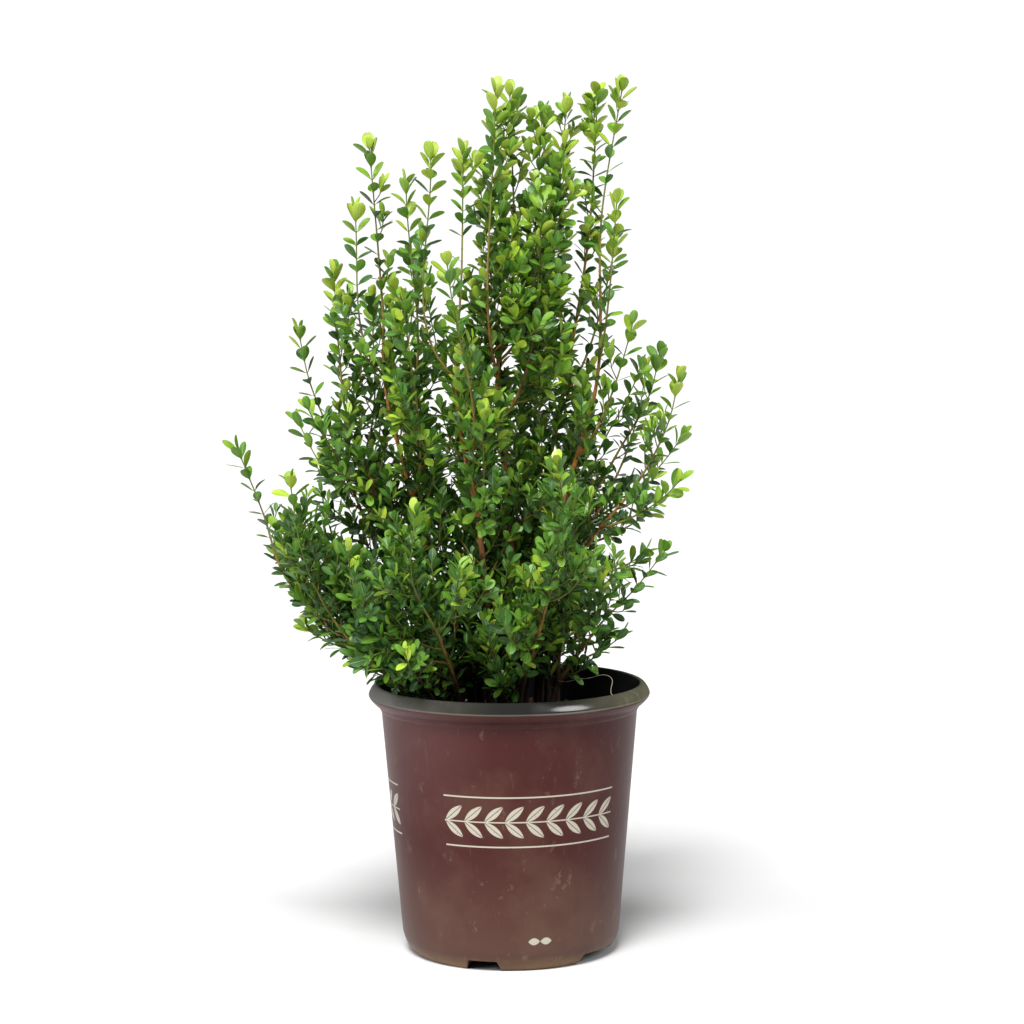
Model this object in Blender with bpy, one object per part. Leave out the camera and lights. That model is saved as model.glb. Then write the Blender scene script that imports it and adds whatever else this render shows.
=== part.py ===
"""A young boxwood in a round-rimmed nursery pot.

The pot stands on its foot ring, the potting soil fills it to a little below the rim,
and each leafy stem stands in its own hole in the soil.
The origin is at the centre of the pot's underside, +Z up, and -Y is the front.
"""

import math
import random

import bmesh
import bpy
from mathutils import Matrix, Vector, geometry
from mathutils.bvhtree import BVHTree

MM = 0.001
UP = Vector((0.0, 0.0, 1.0))

# Clearance between neighbouring pieces
GAP = 0.3 * MM

# Pot: overall height, rim and wall radii, wall and floor thickness
POT_HEIGHT = 230.2 * MM
RIM_RADIUS = 120.0 * MM
WALL_TOP_RADIUS = 108.8 * MM
WALL_FOOT_RADIUS = 93.1 * MM
WALL_FOOT_Z = 18.0 * MM
LEDGE_Z = 205.0 * MM
NECK_RADIUS = 112.9 * MM
WALL = 1.8 * MM
FOOT_OUTER_RADIUS = 83.5 * MM
FOOT_INNER_RADIUS = 76.0 * MM
FLOOR_UNDERSIDE_Z = 7.0 * MM
FLOOR = 2.0 * MM
HUB_RADIUS = 30.0 * MM
POT_SIDES = 40

# Drainage: gaps in the foot ring, as the middle angle from the front towards +X and the width, and
# how far their ends lean, degrees; and the holes in the floor
FOOT_GAPS = ((-13.5, 16.0), (65.0, 36.0), (166.5, 16.0), (245.0, 36.0))
FOOT_GAP_HEIGHT = 6.6 * MM
FOOT_GAP_SLOPE = 1.8
DRAIN_HOLE_RADIUS = 5.5 * MM
DRAIN_HOLE_AT = 66.0 * MM

# Soil: height of its top, how uneven it is, how deep the stems stand in it, and how far up they stay upright
SOIL_TOP = 198.0 * MM
SOIL_UNEVEN = 2.5 * MM
SOIL_SIDES = 20
STEM_DEPTH = 22.0 * MM
STEM_UPRIGHT = 6.0 * MM

# Stems: sides of their rings, half thickness at the tips, of a side shoot and of the thickest wood
# that carries leaves, how fast they thin, and the turn of each stem's rings from the last, radians
TRUNK_SIDES = 8
TWIG_SIDES = 4
TWIG_TIP_RADIUS = 0.8 * MM
SHOOT_RADIUS = 1.15 * MM
LEAFY_RADIUS = 2.1 * MM
THINNING = 1.5
TURN_BETWEEN_STEMS = 2.4

# Distances along a stem: between rings, between the leaf pairs kept in this model and between the
# last two, from the last pair to the blunt end, and from a side shoot to the next pair
RING_SPACING = 60.0 * MM
PAIR_SPACING = 42.0 * MM
TOP_PAIR_SPACING = 11.0 * MM
TIP_STUB = 1.2 * MM
JOINTS_APART = 6.0 * MM

# Height of the band that a side shoot leaves, the shoot's first ring and its bare length
SHOOT_JOINT = 2.2 * MM
SHOOT_FIRST_RING = 3.5 * MM
SHOOT_BARE = 16.0 * MM

# Trunk: how far under the first joint its eight sides end, and the plain length above the soil
TRUNK_CLEAR = 4.0 * MM
FOOT_CLEAR = 8.0 * MM

# Room left round a stem and round a leaf when their places are chosen, and places tried for a leaf
STEM_ROOM = 0.5 * MM
LEAF_ROOM = 0.35 * MM
LEAF_TRIES = 14

# Leaves: length, width for its length, thickness of the blade, height of the leaf stalk, where the
# blade is widest, the width of its blunt end, and how far the last pair reaches past its stem
LEAF_LENGTH = (14.0 * MM, 18.5 * MM)
LEAF_SLENDERNESS = 0.6
LEAF_THICKNESS = 0.8 * MM
LEAF_STALK = 1.2 * MM
LEAF_WIDEST_AT = 0.56
LEAF_TIP_WIDTH = 0.24
TIP_LEAF_REACH = 0.8 * LEAF_LENGTH[0]

# Each stem: radius at its foot, foot on the soil, points that it passes to its tip, and its main
# side shoots as the share of the stem's length where one leaves and the place of its tip.
# Millimetres, chosen by hand from the shrub's outline.
STEMS = {
    "stem_tall_middle": (
        4.4, (-6, 0), ((3, -5, 341), (-8, 0, 492), (6, 5, 576), (4, 10, 731)),
        ((0.30, (48, -60, 405)), (0.56, (-13, -12, 738)), (0.60, (32, 8, 716)))),
    "stem_tall_right": (
        3.8, (13, 13), ((23, 15, 350), (50, 22, 487), (70, 28, 606), (79, 32, 731)),
        ((0.34, (70, 70, 470)), (0.55, (52, 44, 724)), (0.52, (96, 62, 610)))),
    "stem_tall_far_right": (
        3.4, (24, -5), ((44, -8, 370), (76, -10, 489), (87, -12, 623), (105, -15, 741)),
        ((0.42, (106, -34, 540)), (0.58, (92, -40, 640)))),
    "stem_tall_left": (
        3.6, (-16, -18), ((-23, -30, 355), (-42, -42, 474), (-37, -38, 581), (-34, -28, 696)),
        ((0.36, (-20, -88, 470)), (0.46, (-48, -84, 590)), (0.62, (-58, -44, 682)))),
    "stem_left_spire": (
        3.6, (-32, -4), ((-75, -8, 370), (-102, -12, 480), (-104, -12, 548), (-116, -8, 694)),
        ((0.40, (-84, -66, 560)), (0.52, (-82, -42, 662)), (0.62, (-134, -26, 640)))),
    "stem_left_middle": (
        3.2, (-48, 9), ((-92, 6, 350), (-134, 15, 444), (-143, 18, 513), (-147, 20, 583)),
        ((0.50, (-168, -30, 470)), (0.60, (-116, 58, 560)))),
    "stem_left_back": (
        3.0, (-44, 27), ((-112, 44, 338), (-155, 62, 442), (-172, 68, 485), (-185, 72, 536)),
        ((0.36, (-120, 108, 430)), (0.55, (-186, 100, 452)))),
    "stem_far_left": (
        3.0, (-62, -8), ((-138, -15, 268), (-188, -20, 324), (-207, -20, 380), (-231, -20, 444)),
        ((0.26, (-150, 44, 340)), (0.42, (-192, -66, 372)))),
    "stem_low_left": (
        2.8, (-56, -30), ((-131, -66, 275), (-166, -82, 340), (-179, -86, 414)),
        ((0.34, (-186, -52, 276)), (0.44, (-130, -112, 360)))),
    "stem_right_high": (
        3.2, (33, 17), ((45, 28, 332), (92, 45, 417), (122, 50, 470), (136, 52, 516)),
        ((0.50, (156, 26, 440)), (0.60, (118, 84, 500)))),
    "stem_right_middle": (
        3.2, (40, -14), ((56, -22, 329), (111, -30, 406), (136, -34, 450), (151, -36, 490)),
        ((0.36, (120, 0, 345)), (0.55, (148, -72, 410)))),
    "stem_right_low": (
        2.8, (34, -34), ((69, -48, 276), (106, -60, 318), (132, -66, 352)),
        ((0.30, (106, -18, 268)), (0.50, (88, -100, 350)))),
    "stem_front_left": (
        3.0, (-40, -46), ((-56, -85, 278), (-78, -115, 332), (-74, -125, 392)),
        ((0.30, (-110, -116, 292)), (0.46, (-38, -138, 350)))),
    "stem_front_right": (
        3.0, (8, -38), ((28, -76, 294), (46, -110, 364), (40, -122, 430)),
        ((0.26, (-6, -120, 300)), (0.50, (72, -126, 360)))),
    "stem_back_left": (
        3.2, (-25, 35), ((-66, 70, 327), (-91, 105, 465), (-84, 110, 540), (-73, 112, 614)),
        ((0.30, (-112, 132, 360)), (0.44, (-40, 150, 470)))),
    "stem_back_middle": (
        3.2, (2, 37), ((12, 72, 345), (26, 112, 465), (32, 120, 530), (38, 124, 602)),
        ((0.28, (-10, 142, 350)), (0.44, (66, 150, 470)))),
    "stem_back_right": (
        3.0, (29, 41), ((59, 72, 327), (100, 108, 405), (116, 118, 450), (124, 120, 496)),
        ((0.30, (62, 136, 340)), (0.46, (136, 84, 380)))),
    "stem_over_rim": (
        2.6, (-60, -50), ((-84, -84, 258), (-104, -112, 270), (-116, -134, 248)),
        ((0.30, (-142, -92, 262)),)),
}


def clear_scene():
    """Remove whatever the scene holds."""
    for thing in list(bpy.data.objects):
        bpy.data.objects.remove(thing, do_unlink=True)


def material(name, color, roughness, metallic=0.0):
    """A plain finish with its colour, roughness and metallic value."""
    finish = bpy.data.materials.new(name)
    finish.use_nodes = True
    shader = finish.node_tree.nodes["Principled BSDF"]
    shader.inputs["Base Color"].default_value = (*color, 1.0)
    shader.inputs["Roughness"].default_value = roughness
    shader.inputs["Metallic"].default_value = metallic
    finish.diffuse_color = (*color, 1.0)
    return finish


def add_object(name, mesh, *finishes):
    """Put a mesh into the scene as one named piece."""
    piece = bpy.data.objects.new(name, mesh)
    bpy.context.scene.collection.objects.link(piece)
    for finish in finishes:
        mesh.materials.append(finish)
    return piece


def turned_mesh(name, profile, sides):
    """Turn an outline of (radius, height) points round +Z into a closed body."""
    shape = bmesh.new()
    corners = [shape.verts.new((radius, 0.0, height)) for radius, height in profile]
    edges = [shape.edges.new(pair) for pair in zip(corners, corners[1:])]
    bmesh.ops.spin(shape, geom=corners + edges, cent=(0.0, 0.0, 0.0), axis=UP, dvec=(0.0, 0.0, 0.0),
                   angle=math.tau, steps=sides, use_merge=True)
    bmesh.ops.remove_doubles(shape, verts=shape.verts, dist=0.01 * MM)
    bmesh.ops.recalc_face_normals(shape, faces=shape.faces)
    mesh = bpy.data.meshes.new(name)
    shape.to_mesh(mesh)
    shape.free()
    return mesh


def cut(piece, cutter):
    """Cut one body out of another with a live Boolean, and keep the cutter as a guide."""
    cutter.hide_render = True
    cutter.display_type = "WIRE"
    hole = piece.modifiers.new("cut_" + cutter.name, "BOOLEAN")
    hole.operation = "DIFFERENCE"
    hole.solver = "EXACT"
    hole.object = cutter


def wall_radius(height):
    """Outer radius of the pot's tapering wall at a height."""
    share = (height - WALL_FOOT_Z) / (LEDGE_Z - WALL_FOOT_Z)
    return WALL_FOOT_RADIUS + (WALL_TOP_RADIUS - WALL_FOOT_RADIUS) * share


def pot_profile():
    """Outline of the pot's wall, from the middle of its underside, up the outside and down the inside."""
    floor_top = FLOOR_UNDERSIDE_Z + FLOOR
    lip = RIM_RADIUS
    top = POT_HEIGHT
    underside = [
        (0.0, 0.0), (HUB_RADIUS, 0.0), (HUB_RADIUS + 3 * MM, FLOOR_UNDERSIDE_Z),
        (FOOT_INNER_RADIUS - 2 * MM, FLOOR_UNDERSIDE_Z), (FOOT_INNER_RADIUS, 0.0)]
    outside = [
        (FOOT_OUTER_RADIUS, 0.0), (FOOT_OUTER_RADIUS + 4.8 * MM, 5 * MM),
        (FOOT_OUTER_RADIUS + 8.1 * MM, 11.5 * MM), (WALL_FOOT_RADIUS, WALL_FOOT_Z),
        (WALL_TOP_RADIUS, LEDGE_Z), (WALL_TOP_RADIUS + 1.2 * MM, LEDGE_Z + 1.5 * MM),
        (NECK_RADIUS, top - 12.8 * MM)]
    rim = [
        (lip - 1.4 * MM, top - 12.6 * MM), (lip, top - 10.4 * MM), (lip - 0.8 * MM, top - 5.2 * MM),
        (lip - 2.6 * MM, top - 1.2 * MM), (lip - 5.0 * MM, top), (lip - 6.4 * MM, top - 1.2 * MM)]
    inside = [
        (WALL_TOP_RADIUS - 0.4 * MM, LEDGE_Z + 6 * MM), (wall_radius(WALL_FOOT_Z) - WALL, WALL_FOOT_Z),
        (FOOT_OUTER_RADIUS + 5.5 * MM, floor_top + 1.6 * MM), (FOOT_OUTER_RADIUS + 2.5 * MM, floor_top),
        (HUB_RADIUS + 4.5 * MM, floor_top), (HUB_RADIUS + 1.5 * MM, FLOOR), (0.0, FLOOR)]
    return underside + outside + rim + inside


def foot_gap_mesh(name):
    """Four blocks bent round the foot ring, narrower at the top, that cut its drainage gaps."""
    inner = FOOT_INNER_RADIUS - 3 * MM
    outer = WALL_FOOT_RADIUS + 4 * MM
    below = -2 * MM
    arc_steps = 4
    shape = bmesh.new()
    for middle, width in FOOT_GAPS:
        sections = []
        for step in range(arc_steps + 1):
            share = step / arc_steps - 0.5
            low = math.radians(middle + share * (width + 2 * FOOT_GAP_SLOPE))
            high = math.radians(middle + share * width)
            corners = ((inner, low, below), (outer, low, below), (outer, high, FOOT_GAP_HEIGHT),
                       (inner, high, FOOT_GAP_HEIGHT))
            sections.append([shape.verts.new((radius * math.sin(angle), -radius * math.cos(angle), height))
                             for radius, angle, height in corners])
        shape.faces.new(sections[0])
        shape.faces.new(reversed(sections[-1]))
        for near, far in zip(sections, sections[1:]):
            for corner in range(4):
                after = (corner + 1) % 4
                shape.faces.new((near[corner], far[corner], far[after], near[after]))
    bmesh.ops.recalc_face_normals(shape, faces=shape.faces)
    mesh = bpy.data.meshes.new(name)
    shape.to_mesh(mesh)
    shape.free()
    return mesh


def upright_prisms_mesh(name, places, sides, bottom, top):
    """Upright prisms, one at each (radius, x, y) place."""
    shape = bmesh.new()
    for radius, x, y in places:
        place = Matrix.Translation((x, y, (bottom + top) / 2))
        bmesh.ops.create_cone(shape, cap_ends=True, segments=sides, radius1=radius, radius2=radius,
                              depth=top - bottom, matrix=place)
    mesh = bpy.data.meshes.new(name)
    shape.to_mesh(mesh)
    shape.free()
    return mesh


def make_pot():
    """The nursery pot: one moulded shell with a rolled rim, a foot ring with gaps, and drain holes."""
    mesh = turned_mesh("pot", pot_profile(), POT_SIDES)
    mesh.shade_smooth()
    mesh.set_sharp_from_angle(angle=math.radians(35))
    pot = add_object("pot", mesh, material("pot_plastic", (0.115, 0.052, 0.045), 0.45))
    cut(pot, add_object("foot_gap_cutter", foot_gap_mesh("foot_gap_cutter")))
    angles = [math.radians(middle) for middle, width in FOOT_GAPS]
    places = [(DRAIN_HOLE_RADIUS, DRAIN_HOLE_AT * math.sin(angle), -DRAIN_HOLE_AT * math.cos(angle))
              for angle in angles]
    holes = upright_prisms_mesh("drain_cutter", places, 10, FLOOR_UNDERSIDE_Z - 4 * MM,
                                FLOOR_UNDERSIDE_Z + FLOOR + 2 * MM)
    cut(pot, add_object("drain_cutter", holes))
    return pot


def make_soil(feet):
    """The potting soil: a plug that follows the pot's inside, uneven on top, with a hole for each stem."""
    floor_top = FLOOR_UNDERSIDE_Z + FLOOR + GAP
    inset = WALL + 1.5 * GAP
    rings = (0.86, 0.62, 0.34)
    wall_top = SOIL_TOP - 1 * MM
    profile = [
        (0.0, FLOOR + GAP), (HUB_RADIUS + 1.0 * MM, FLOOR + GAP), (HUB_RADIUS + 4.4 * MM, floor_top),
        (FOOT_OUTER_RADIUS + 2.0 * MM, floor_top), (WALL_FOOT_RADIUS - inset, WALL_FOOT_Z + GAP),
        (wall_radius(wall_top) - inset, wall_top)]
    rim_radius = profile[-1][0]
    profile += [(rim_radius * share, SOIL_TOP) for share in rings] + [(0.0, SOIL_TOP)]
    mesh = turned_mesh("soil", profile, SOIL_SIDES)
    draw = random.Random(11)
    for vertex in mesh.vertices:
        if vertex.co.z > SOIL_TOP - 0.1 * MM:
            vertex.co.z += draw.uniform(-SOIL_UNEVEN, SOIL_UNEVEN)
    soil = add_object("soil", mesh, material("potting_soil", (0.030, 0.021, 0.015), 0.95))
    places = [((radius + 1.2 * GAP) / math.cos(math.pi / TRUNK_SIDES), x, y) for radius, x, y in feet]
    holes = upright_prisms_mesh("stem_hole_cutter", places, TRUNK_SIDES, SOIL_TOP - STEM_DEPTH - GAP,
                                SOIL_TOP + 12 * MM)
    cut(soil, add_object("stem_hole_cutter", holes))
    return soil


class Path:
    """A smooth curve through given points, read by the length along it."""

    def __init__(self, points, start, end=None):
        self.points = [points[0]]
        for index, (here, after) in enumerate(zip(points, points[1:])):
            reach = (after - here).length / 3
            leave = start if index == 0 else (after - points[index - 1]).normalized()
            last = index == len(points) - 2
            arrive = (after - here).normalized() if last else (points[index + 2] - here).normalized()
            if last and end:
                arrive = end
            curve = geometry.interpolate_bezier(here, here + leave * reach, after - arrive * reach, after, 24)
            self.points += curve[1:]
        self.marks = [0.0]
        for here, after in zip(self.points, self.points[1:]):
            self.marks.append(self.marks[-1] + (after - here).length)
        self.length = self.marks[-1]

    def at(self, distance):
        """Place and direction at a length along the curve."""
        distance = min(max(distance, 0.0), self.length)
        index = 0
        while index < len(self.marks) - 2 and self.marks[index + 1] < distance:
            index += 1
        here, after = self.points[index], self.points[index + 1]
        share = (distance - self.marks[index]) / (self.marks[index + 1] - self.marks[index])
        return here.lerp(after, share), (after - here).normalized()


class Axis:
    """A stem or side shoot: rings of corners along a path, with narrow bands that leaves and shoots leave."""

    def __init__(self, path, length, radii, side, joints, foot=None):
        self.path = path
        self.length = length
        self.radii = radii
        self.growths = {}
        self.frames = []
        stops = []
        for distance, height in sorted(joints):
            if stops and distance - height / 2 - stops[-1][0] < 2 * MM:
                continue
            stops += [(distance - height / 2, True), (distance + height / 2, False)]
        self.trunk_end = stops[0][0] - TRUNK_CLEAR if foot else 0.0
        spaced = []
        reached = 0.0
        for distance, is_joint in stops:
            spare = distance - reached
            extra = round(spare / RING_SPACING - 0.4)
            spaced += [(reached + spare * (step + 1) / (extra + 1), False) for step in range(extra)]
            spaced.append((distance, is_joint))
            reached = distance
        if foot:
            spaced = [(0.0, False)] + [stop for stop in spaced if stop[0] > FOOT_CLEAR]
            self.trunk_end = max(stop[0] for stop in spaced if stop[0] < self.trunk_end)
        for distance, is_joint in spaced:
            centre, along = path.at(distance)
            side = (side - along * side.dot(along)).normalized()
            self.frames.append((centre, along, side.copy(), distance, is_joint))
        if foot:
            self.frames.insert(0, (foot, UP.copy(), self.frames[0][2], -STEM_DEPTH - STEM_UPRIGHT, False))
        self.rings = [self.ring(frame) for frame in self.frames]

    def radius(self, distance):
        """Half thickness across the corners, thinning towards the tip."""
        base, tip, power = self.radii
        share = min(max(distance / self.length, 0.0), 1.0)
        return tip + (base - tip) * (1.0 - share) ** power

    def ring(self, frame):
        """Corners round the path, eight on the trunk and four above it."""
        centre, along, side, distance, is_joint = frame
        other = along.cross(side)
        sides = TRUNK_SIDES if distance <= self.trunk_end and self.trunk_end > 0.0 else TWIG_SIDES
        reach = self.radius(distance)
        corners = []
        for corner in range(sides):
            angle = math.tau * (corner / sides - 3 / 8)
            corners.append(centre + (side * math.cos(angle) + other * math.sin(angle)) * reach)
        return corners

    def face(self, index, number):
        """Root of a leaf or shoot: the four corners of one side of a band, and the way it faces."""
        lower, upper = self.rings[index], self.rings[index + 1]
        after = (number + 1) % TWIG_SIDES
        corners = [lower[number], lower[after], upper[after], upper[number]]
        centre, along, side, distance, is_joint = self.frames[index]
        other = along.cross(side)
        outward = (-other, side, other, -side)[number]
        return corners, outward, along

    def joint_indices(self):
        """Bands that leaves or shoots can leave."""
        return [index for index, frame in enumerate(self.frames[:-1]) if frame[4]]


class Crowd:
    """The places taken so far, so that nothing crosses its neighbours."""

    def __init__(self):
        self.taken = []

    def add(self, corners, faces, owner):
        """Take the place of one small body."""
        middle = sum(corners, Vector()) / len(corners)
        reach = max((corner - middle).length for corner in corners)
        self.taken.append((middle, reach, BVHTree.FromPolygons(corners, faces), owner))

    def is_free(self, corners, faces, ignored=()):
        """True where a body meets nothing that is there."""
        middle = sum(corners, Vector()) / len(corners)
        reach = max((corner - middle).length for corner in corners)
        tree = BVHTree.FromPolygons(corners, faces)
        for other_middle, other_reach, other_tree, owner in self.taken:
            if owner in ignored or (middle - other_middle).length > reach + other_reach:
                continue
            if tree.overlap(other_tree):
                return False
        return True


def band_faces(sides, start=0):
    """Quads between two rings of the same number of corners."""
    return [(start + corner, start + (corner + 1) % sides, start + sides + (corner + 1) % sides,
             start + sides + corner) for corner in range(sides)]


def swollen(ring, extra):
    """A ring of corners moved out from its middle."""
    middle = sum(ring, Vector()) / len(ring)
    return [corner + (corner - middle).normalized() * extra for corner in ring]


def axis_bodies(axis, extra):
    """Corners and faces of each stretch of an axis, moved out by a clearance."""
    for index, (lower, upper) in enumerate(zip(axis.rings, axis.rings[1:])):
        if len(lower) != len(upper):
            lower = lower[::2]
        sides = len(lower)
        corners = swollen(lower, extra) + swollen(upper, extra)
        ends = [tuple(range(sides)), tuple(range(sides, 2 * sides))]
        yield index, corners, band_faces(sides) + ends


def leaf_sections(root, outward, along, length, spread, roll, curl, extra=0.0):
    """Widest section and blunt tip of a blade that leaves a twig, each as four corners."""
    start = sum(root, Vector()) / 4
    direction = (along * math.cos(spread) + outward * math.sin(spread)).normalized()
    side = along.cross(outward).normalized()
    side = Matrix.Rotation(roll, 3, direction) @ side
    upper = side.cross(direction).normalized() * -1.0
    bent = Matrix.Rotation(curl, 3, side) @ direction
    bent_upper = side.cross(bent).normalized() * -1.0
    width = length * LEAF_SLENDERNESS
    widest = start + direction * length * LEAF_WIDEST_AT
    tip = widest + bent * (length * (1 - LEAF_WIDEST_AT) + extra)
    sections = []
    for middle, half, top in ((widest, width / 2, upper), (tip, width * LEAF_TIP_WIDTH, bent_upper)):
        across = side * (half + extra)
        thick = top * (LEAF_THICKNESS / 2 + extra)
        sections.append([middle - across - thick, middle + across - thick,
                         middle + across + thick, middle - across + thick])
    return sections


def leaf_body(root, sections, extra):
    """Corners and faces of a blade for the crossing test, from a little beyond its root."""
    start = [corner.lerp(far, 0.3) for corner, far in zip(root, sections[0])]
    corners = swollen(start, extra) + sections[0] + sections[1]
    return corners, band_faces(4) + band_faces(4, 4) + [(0, 1, 2, 3), (8, 9, 10, 11)]


def pair_marks(start, end, spacing):
    """Places of the leaf pairs along an axis, closer together below the tip."""
    marks = [end - TIP_STUB, end - TIP_STUB - TOP_PAIR_SPACING]
    while marks[-1] - spacing > start:
        marks.append(marks[-1] - spacing)
    return marks


def plan_stem(name, number, crowd):
    """The stem's own axis, which has to be clear of the stems before it."""
    foot_radius, (foot_x, foot_y), points, shoots = STEMS[name]
    foot = Vector((foot_x * MM, foot_y * MM, SOIL_TOP + STEM_UPRIGHT))
    below = foot - UP * (STEM_DEPTH + STEM_UPRIGHT)
    radii = (foot_radius * MM, TWIG_TIP_RADIUS, THINNING)
    path = Path([foot] + [Vector(point) * MM for point in points], UP)
    length = path.length - TIP_LEAF_REACH
    bare = 1.0 - ((LEAFY_RADIUS - TWIG_TIP_RADIUS) / (radii[0] - TWIG_TIP_RADIUS)) ** (1 / THINNING)
    joints = [(length * share, SHOOT_JOINT) for share, tip in shoots]
    for mark in pair_marks(length * bare, length, PAIR_SPACING):
        if all(abs(mark - joint[0]) > JOINTS_APART for joint in joints):
            joints.append((mark, LEAF_STALK))
    turn = number * TURN_BETWEEN_STEMS
    side = Vector((math.cos(turn), math.sin(turn), 0.0))
    axis = Axis(path, length, radii, side, joints, below)
    for index, corners, faces in axis_bodies(axis, STEM_ROOM):
        if not crowd.is_free(corners, faces, ("soil",)):
            raise RuntimeError("no clear way for " + name)
    for index, corners, faces in axis_bodies(axis, 0.0):
        crowd.add(corners, faces, (name, 0, index))
    return axis


def plan_shoot(name, stem, shoot_number, crowd):
    """One side shoot of a stem, which curves from the stem's side up to its own tip."""
    share, tip = STEMS[name][3][shoot_number]
    wanted = stem.length * share - SHOOT_JOINT / 2
    index = min(stem.joint_indices(), key=lambda joint: abs(stem.frames[joint][3] - wanted))
    toward = (Vector(tip) * MM - stem.frames[index][0]).normalized()
    order = sorted(range(TWIG_SIDES), key=lambda face: -stem.face(index, face)[1].dot(toward))
    near = {(name, 0, index + step) for step in (-1, 0, 1)}
    for face in order[:2]:
        root, outward, along = stem.face(index, face)
        start = sum(root, Vector()) / 4
        end = Vector(tip) * MM
        leave = (outward + along * 0.8).normalized()
        rise = ((end - start).normalized() + UP * 0.6).normalized()
        path = Path([start, end], leave, rise)
        length = path.length - TIP_LEAF_REACH
        radii = (SHOOT_RADIUS, TWIG_TIP_RADIUS, 1.0)
        joints = [(mark, LEAF_STALK) for mark in pair_marks(SHOOT_BARE, length, PAIR_SPACING)]
        axis = Axis(path, length, radii, along.cross(outward), [(SHOOT_FIRST_RING, 0.0)] + joints)
        axis.rings.pop(0)
        axis.frames.pop(0)
        if all(crowd.is_free(corners, faces, near) for band, corners, faces in axis_bodies(axis, STEM_ROOM)):
            for band, corners, faces in axis_bodies(axis, 0.0):
                crowd.add(corners, faces, (name, shoot_number + 1, band))
            stem.growths[(index, face)] = ("shoot", axis)
            return axis
    return None


def plan_leaves(name, axes, crowd):
    """Leaf pairs on every axis of a stem, each pair crosswise to the one below."""
    for axis_number, axis in enumerate(axes):
        indices = axis.joint_indices()
        for order, index in enumerate(indices):
            for face in (order % 2, order % 2 + 2):
                if (index, face) in axis.growths or axis.radius(axis.frames[index][3]) > LEAFY_RADIUS:
                    continue
                root, outward, along = axis.face(index, face)
                for attempt in range(LEAF_TRIES):
                    draw = random.Random(f"{name} {axis_number} {index} {face} {attempt}")
                    top = index == indices[-1]
                    length = draw.uniform(*LEAF_LENGTH)
                    spread = math.radians(draw.uniform(22, 34) if top else draw.uniform(42, 66))
                    loose = 0.25 + 0.06 * attempt
                    roll = draw.uniform(-loose, loose)
                    curl = math.radians(draw.uniform(-16, 12))
                    fat = leaf_sections(root, outward, along, length, spread, roll, curl, LEAF_ROOM)
                    corners, faces = leaf_body(root, fat, LEAF_ROOM)
                    if crowd.is_free(corners, faces):
                        sections = leaf_sections(root, outward, along, length, spread, roll, curl)
                        corners, faces = leaf_body(root, sections, 0.0)
                        crowd.add(corners, faces, (name, axis_number, "leaf", index, face))
                        axis.growths[(index, face)] = ("leaf", sections)
                        break


def add_band(shape, lower, upper, finish, skipped=()):
    """Triangles between two rings, split alike on opposite sides."""
    sides = len(lower)
    for corner in range(sides):
        if corner in skipped:
            continue
        after = (corner + 1) % sides
        if corner < sides / 2:
            triangles = ((lower[corner], lower[after], upper[after]),
                         (lower[corner], upper[after], upper[corner]))
        else:
            triangles = ((lower[corner], lower[after], upper[corner]),
                         (lower[after], upper[after], upper[corner]))
        for triangle in triangles:
            shape.faces.new(triangle).material_index = finish


def add_step_down(shape, lower, upper):
    """Triangles from a trunk ring of eight corners to a twig ring of four."""
    for corner in range(TWIG_SIDES):
        left, middle, right = lower[2 * corner - 1], lower[2 * corner], lower[2 * corner + 1]
        here, after = upper[corner], upper[(corner + 1) % TWIG_SIDES]
        for triangle in ((left, middle, here), (middle, right, here), (right, after, here)):
            shape.faces.new(triangle)


def grow(shape, axis, root=None):
    """Add an axis, with all that leaves it, to the stem's body."""
    rings = [[shape.verts.new(corner) for corner in ring] for ring in axis.rings]
    if root:
        add_band(shape, root, rings[0], 0)
    else:
        shape.faces.new(reversed(rings[0]))
    for index, (lower, upper) in enumerate(zip(rings, rings[1:])):
        if len(lower) != len(upper):
            add_step_down(shape, lower, upper)
            continue
        faces = {face: growth for (joint, face), growth in axis.growths.items() if joint == index}
        add_band(shape, lower, upper, 0, faces)
        for face, (kind, content) in faces.items():
            after = (face + 1) % TWIG_SIDES
            base = [lower[face], lower[after], upper[after], upper[face]]
            if kind == "shoot":
                grow(shape, content, base)
                continue
            widest, tip = [[shape.verts.new(corner) for corner in ring] for ring in content]
            add_band(shape, base, widest, 1)
            add_band(shape, widest, tip, 1)
            shape.faces.new(tip).material_index = 1
    shape.faces.new(rings[-1])


def make_stem(name, axis, bark, foliage):
    """One leafy stem as a single grown body."""
    shape = bmesh.new()
    grow(shape, axis)
    bmesh.ops.triangulate(shape, faces=[face for face in shape.faces if len(face.verts) > 3])
    mesh = bpy.data.meshes.new(name)
    shape.to_mesh(mesh)
    shape.free()
    return add_object(name, mesh, bark, foliage)


def take_place(crowd, piece, owner):
    """Let the growing stems keep clear of a finished piece."""
    mesh = piece.data
    corners = [vertex.co.copy() for vertex in mesh.vertices]
    for polygon in mesh.polygons:
        points = [corners[index] for index in polygon.vertices]
        crowd.add(points, [tuple(range(len(points)))], owner)


def build():
    """Make the pot, the soil and every leafy stem."""
    clear_scene()
    pot = make_pot()
    soil = make_soil([(radius * MM, x * MM, y * MM) for radius, (x, y), route, shoots in STEMS.values()])
    crowd = Crowd()
    take_place(crowd, pot, "pot")
    take_place(crowd, soil, "soil")
    stems = {name: [plan_stem(name, number, crowd)] for number, name in enumerate(STEMS)}
    for name in STEMS:
        for shoot_number in range(len(STEMS[name][3])):
            shoot = plan_shoot(name, stems[name][0], shoot_number, crowd)
            if shoot:
                stems[name].append(shoot)
    for name in STEMS:
        plan_leaves(name, stems[name], crowd)
    bark = material("twig_bark", (0.165, 0.110, 0.040), 0.7)
    foliage = material("boxwood_leaf", (0.075, 0.190, 0.028), 0.4)
    for name, axes in stems.items():
        make_stem(name, axes[0], bark, foliage)


build()
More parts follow.
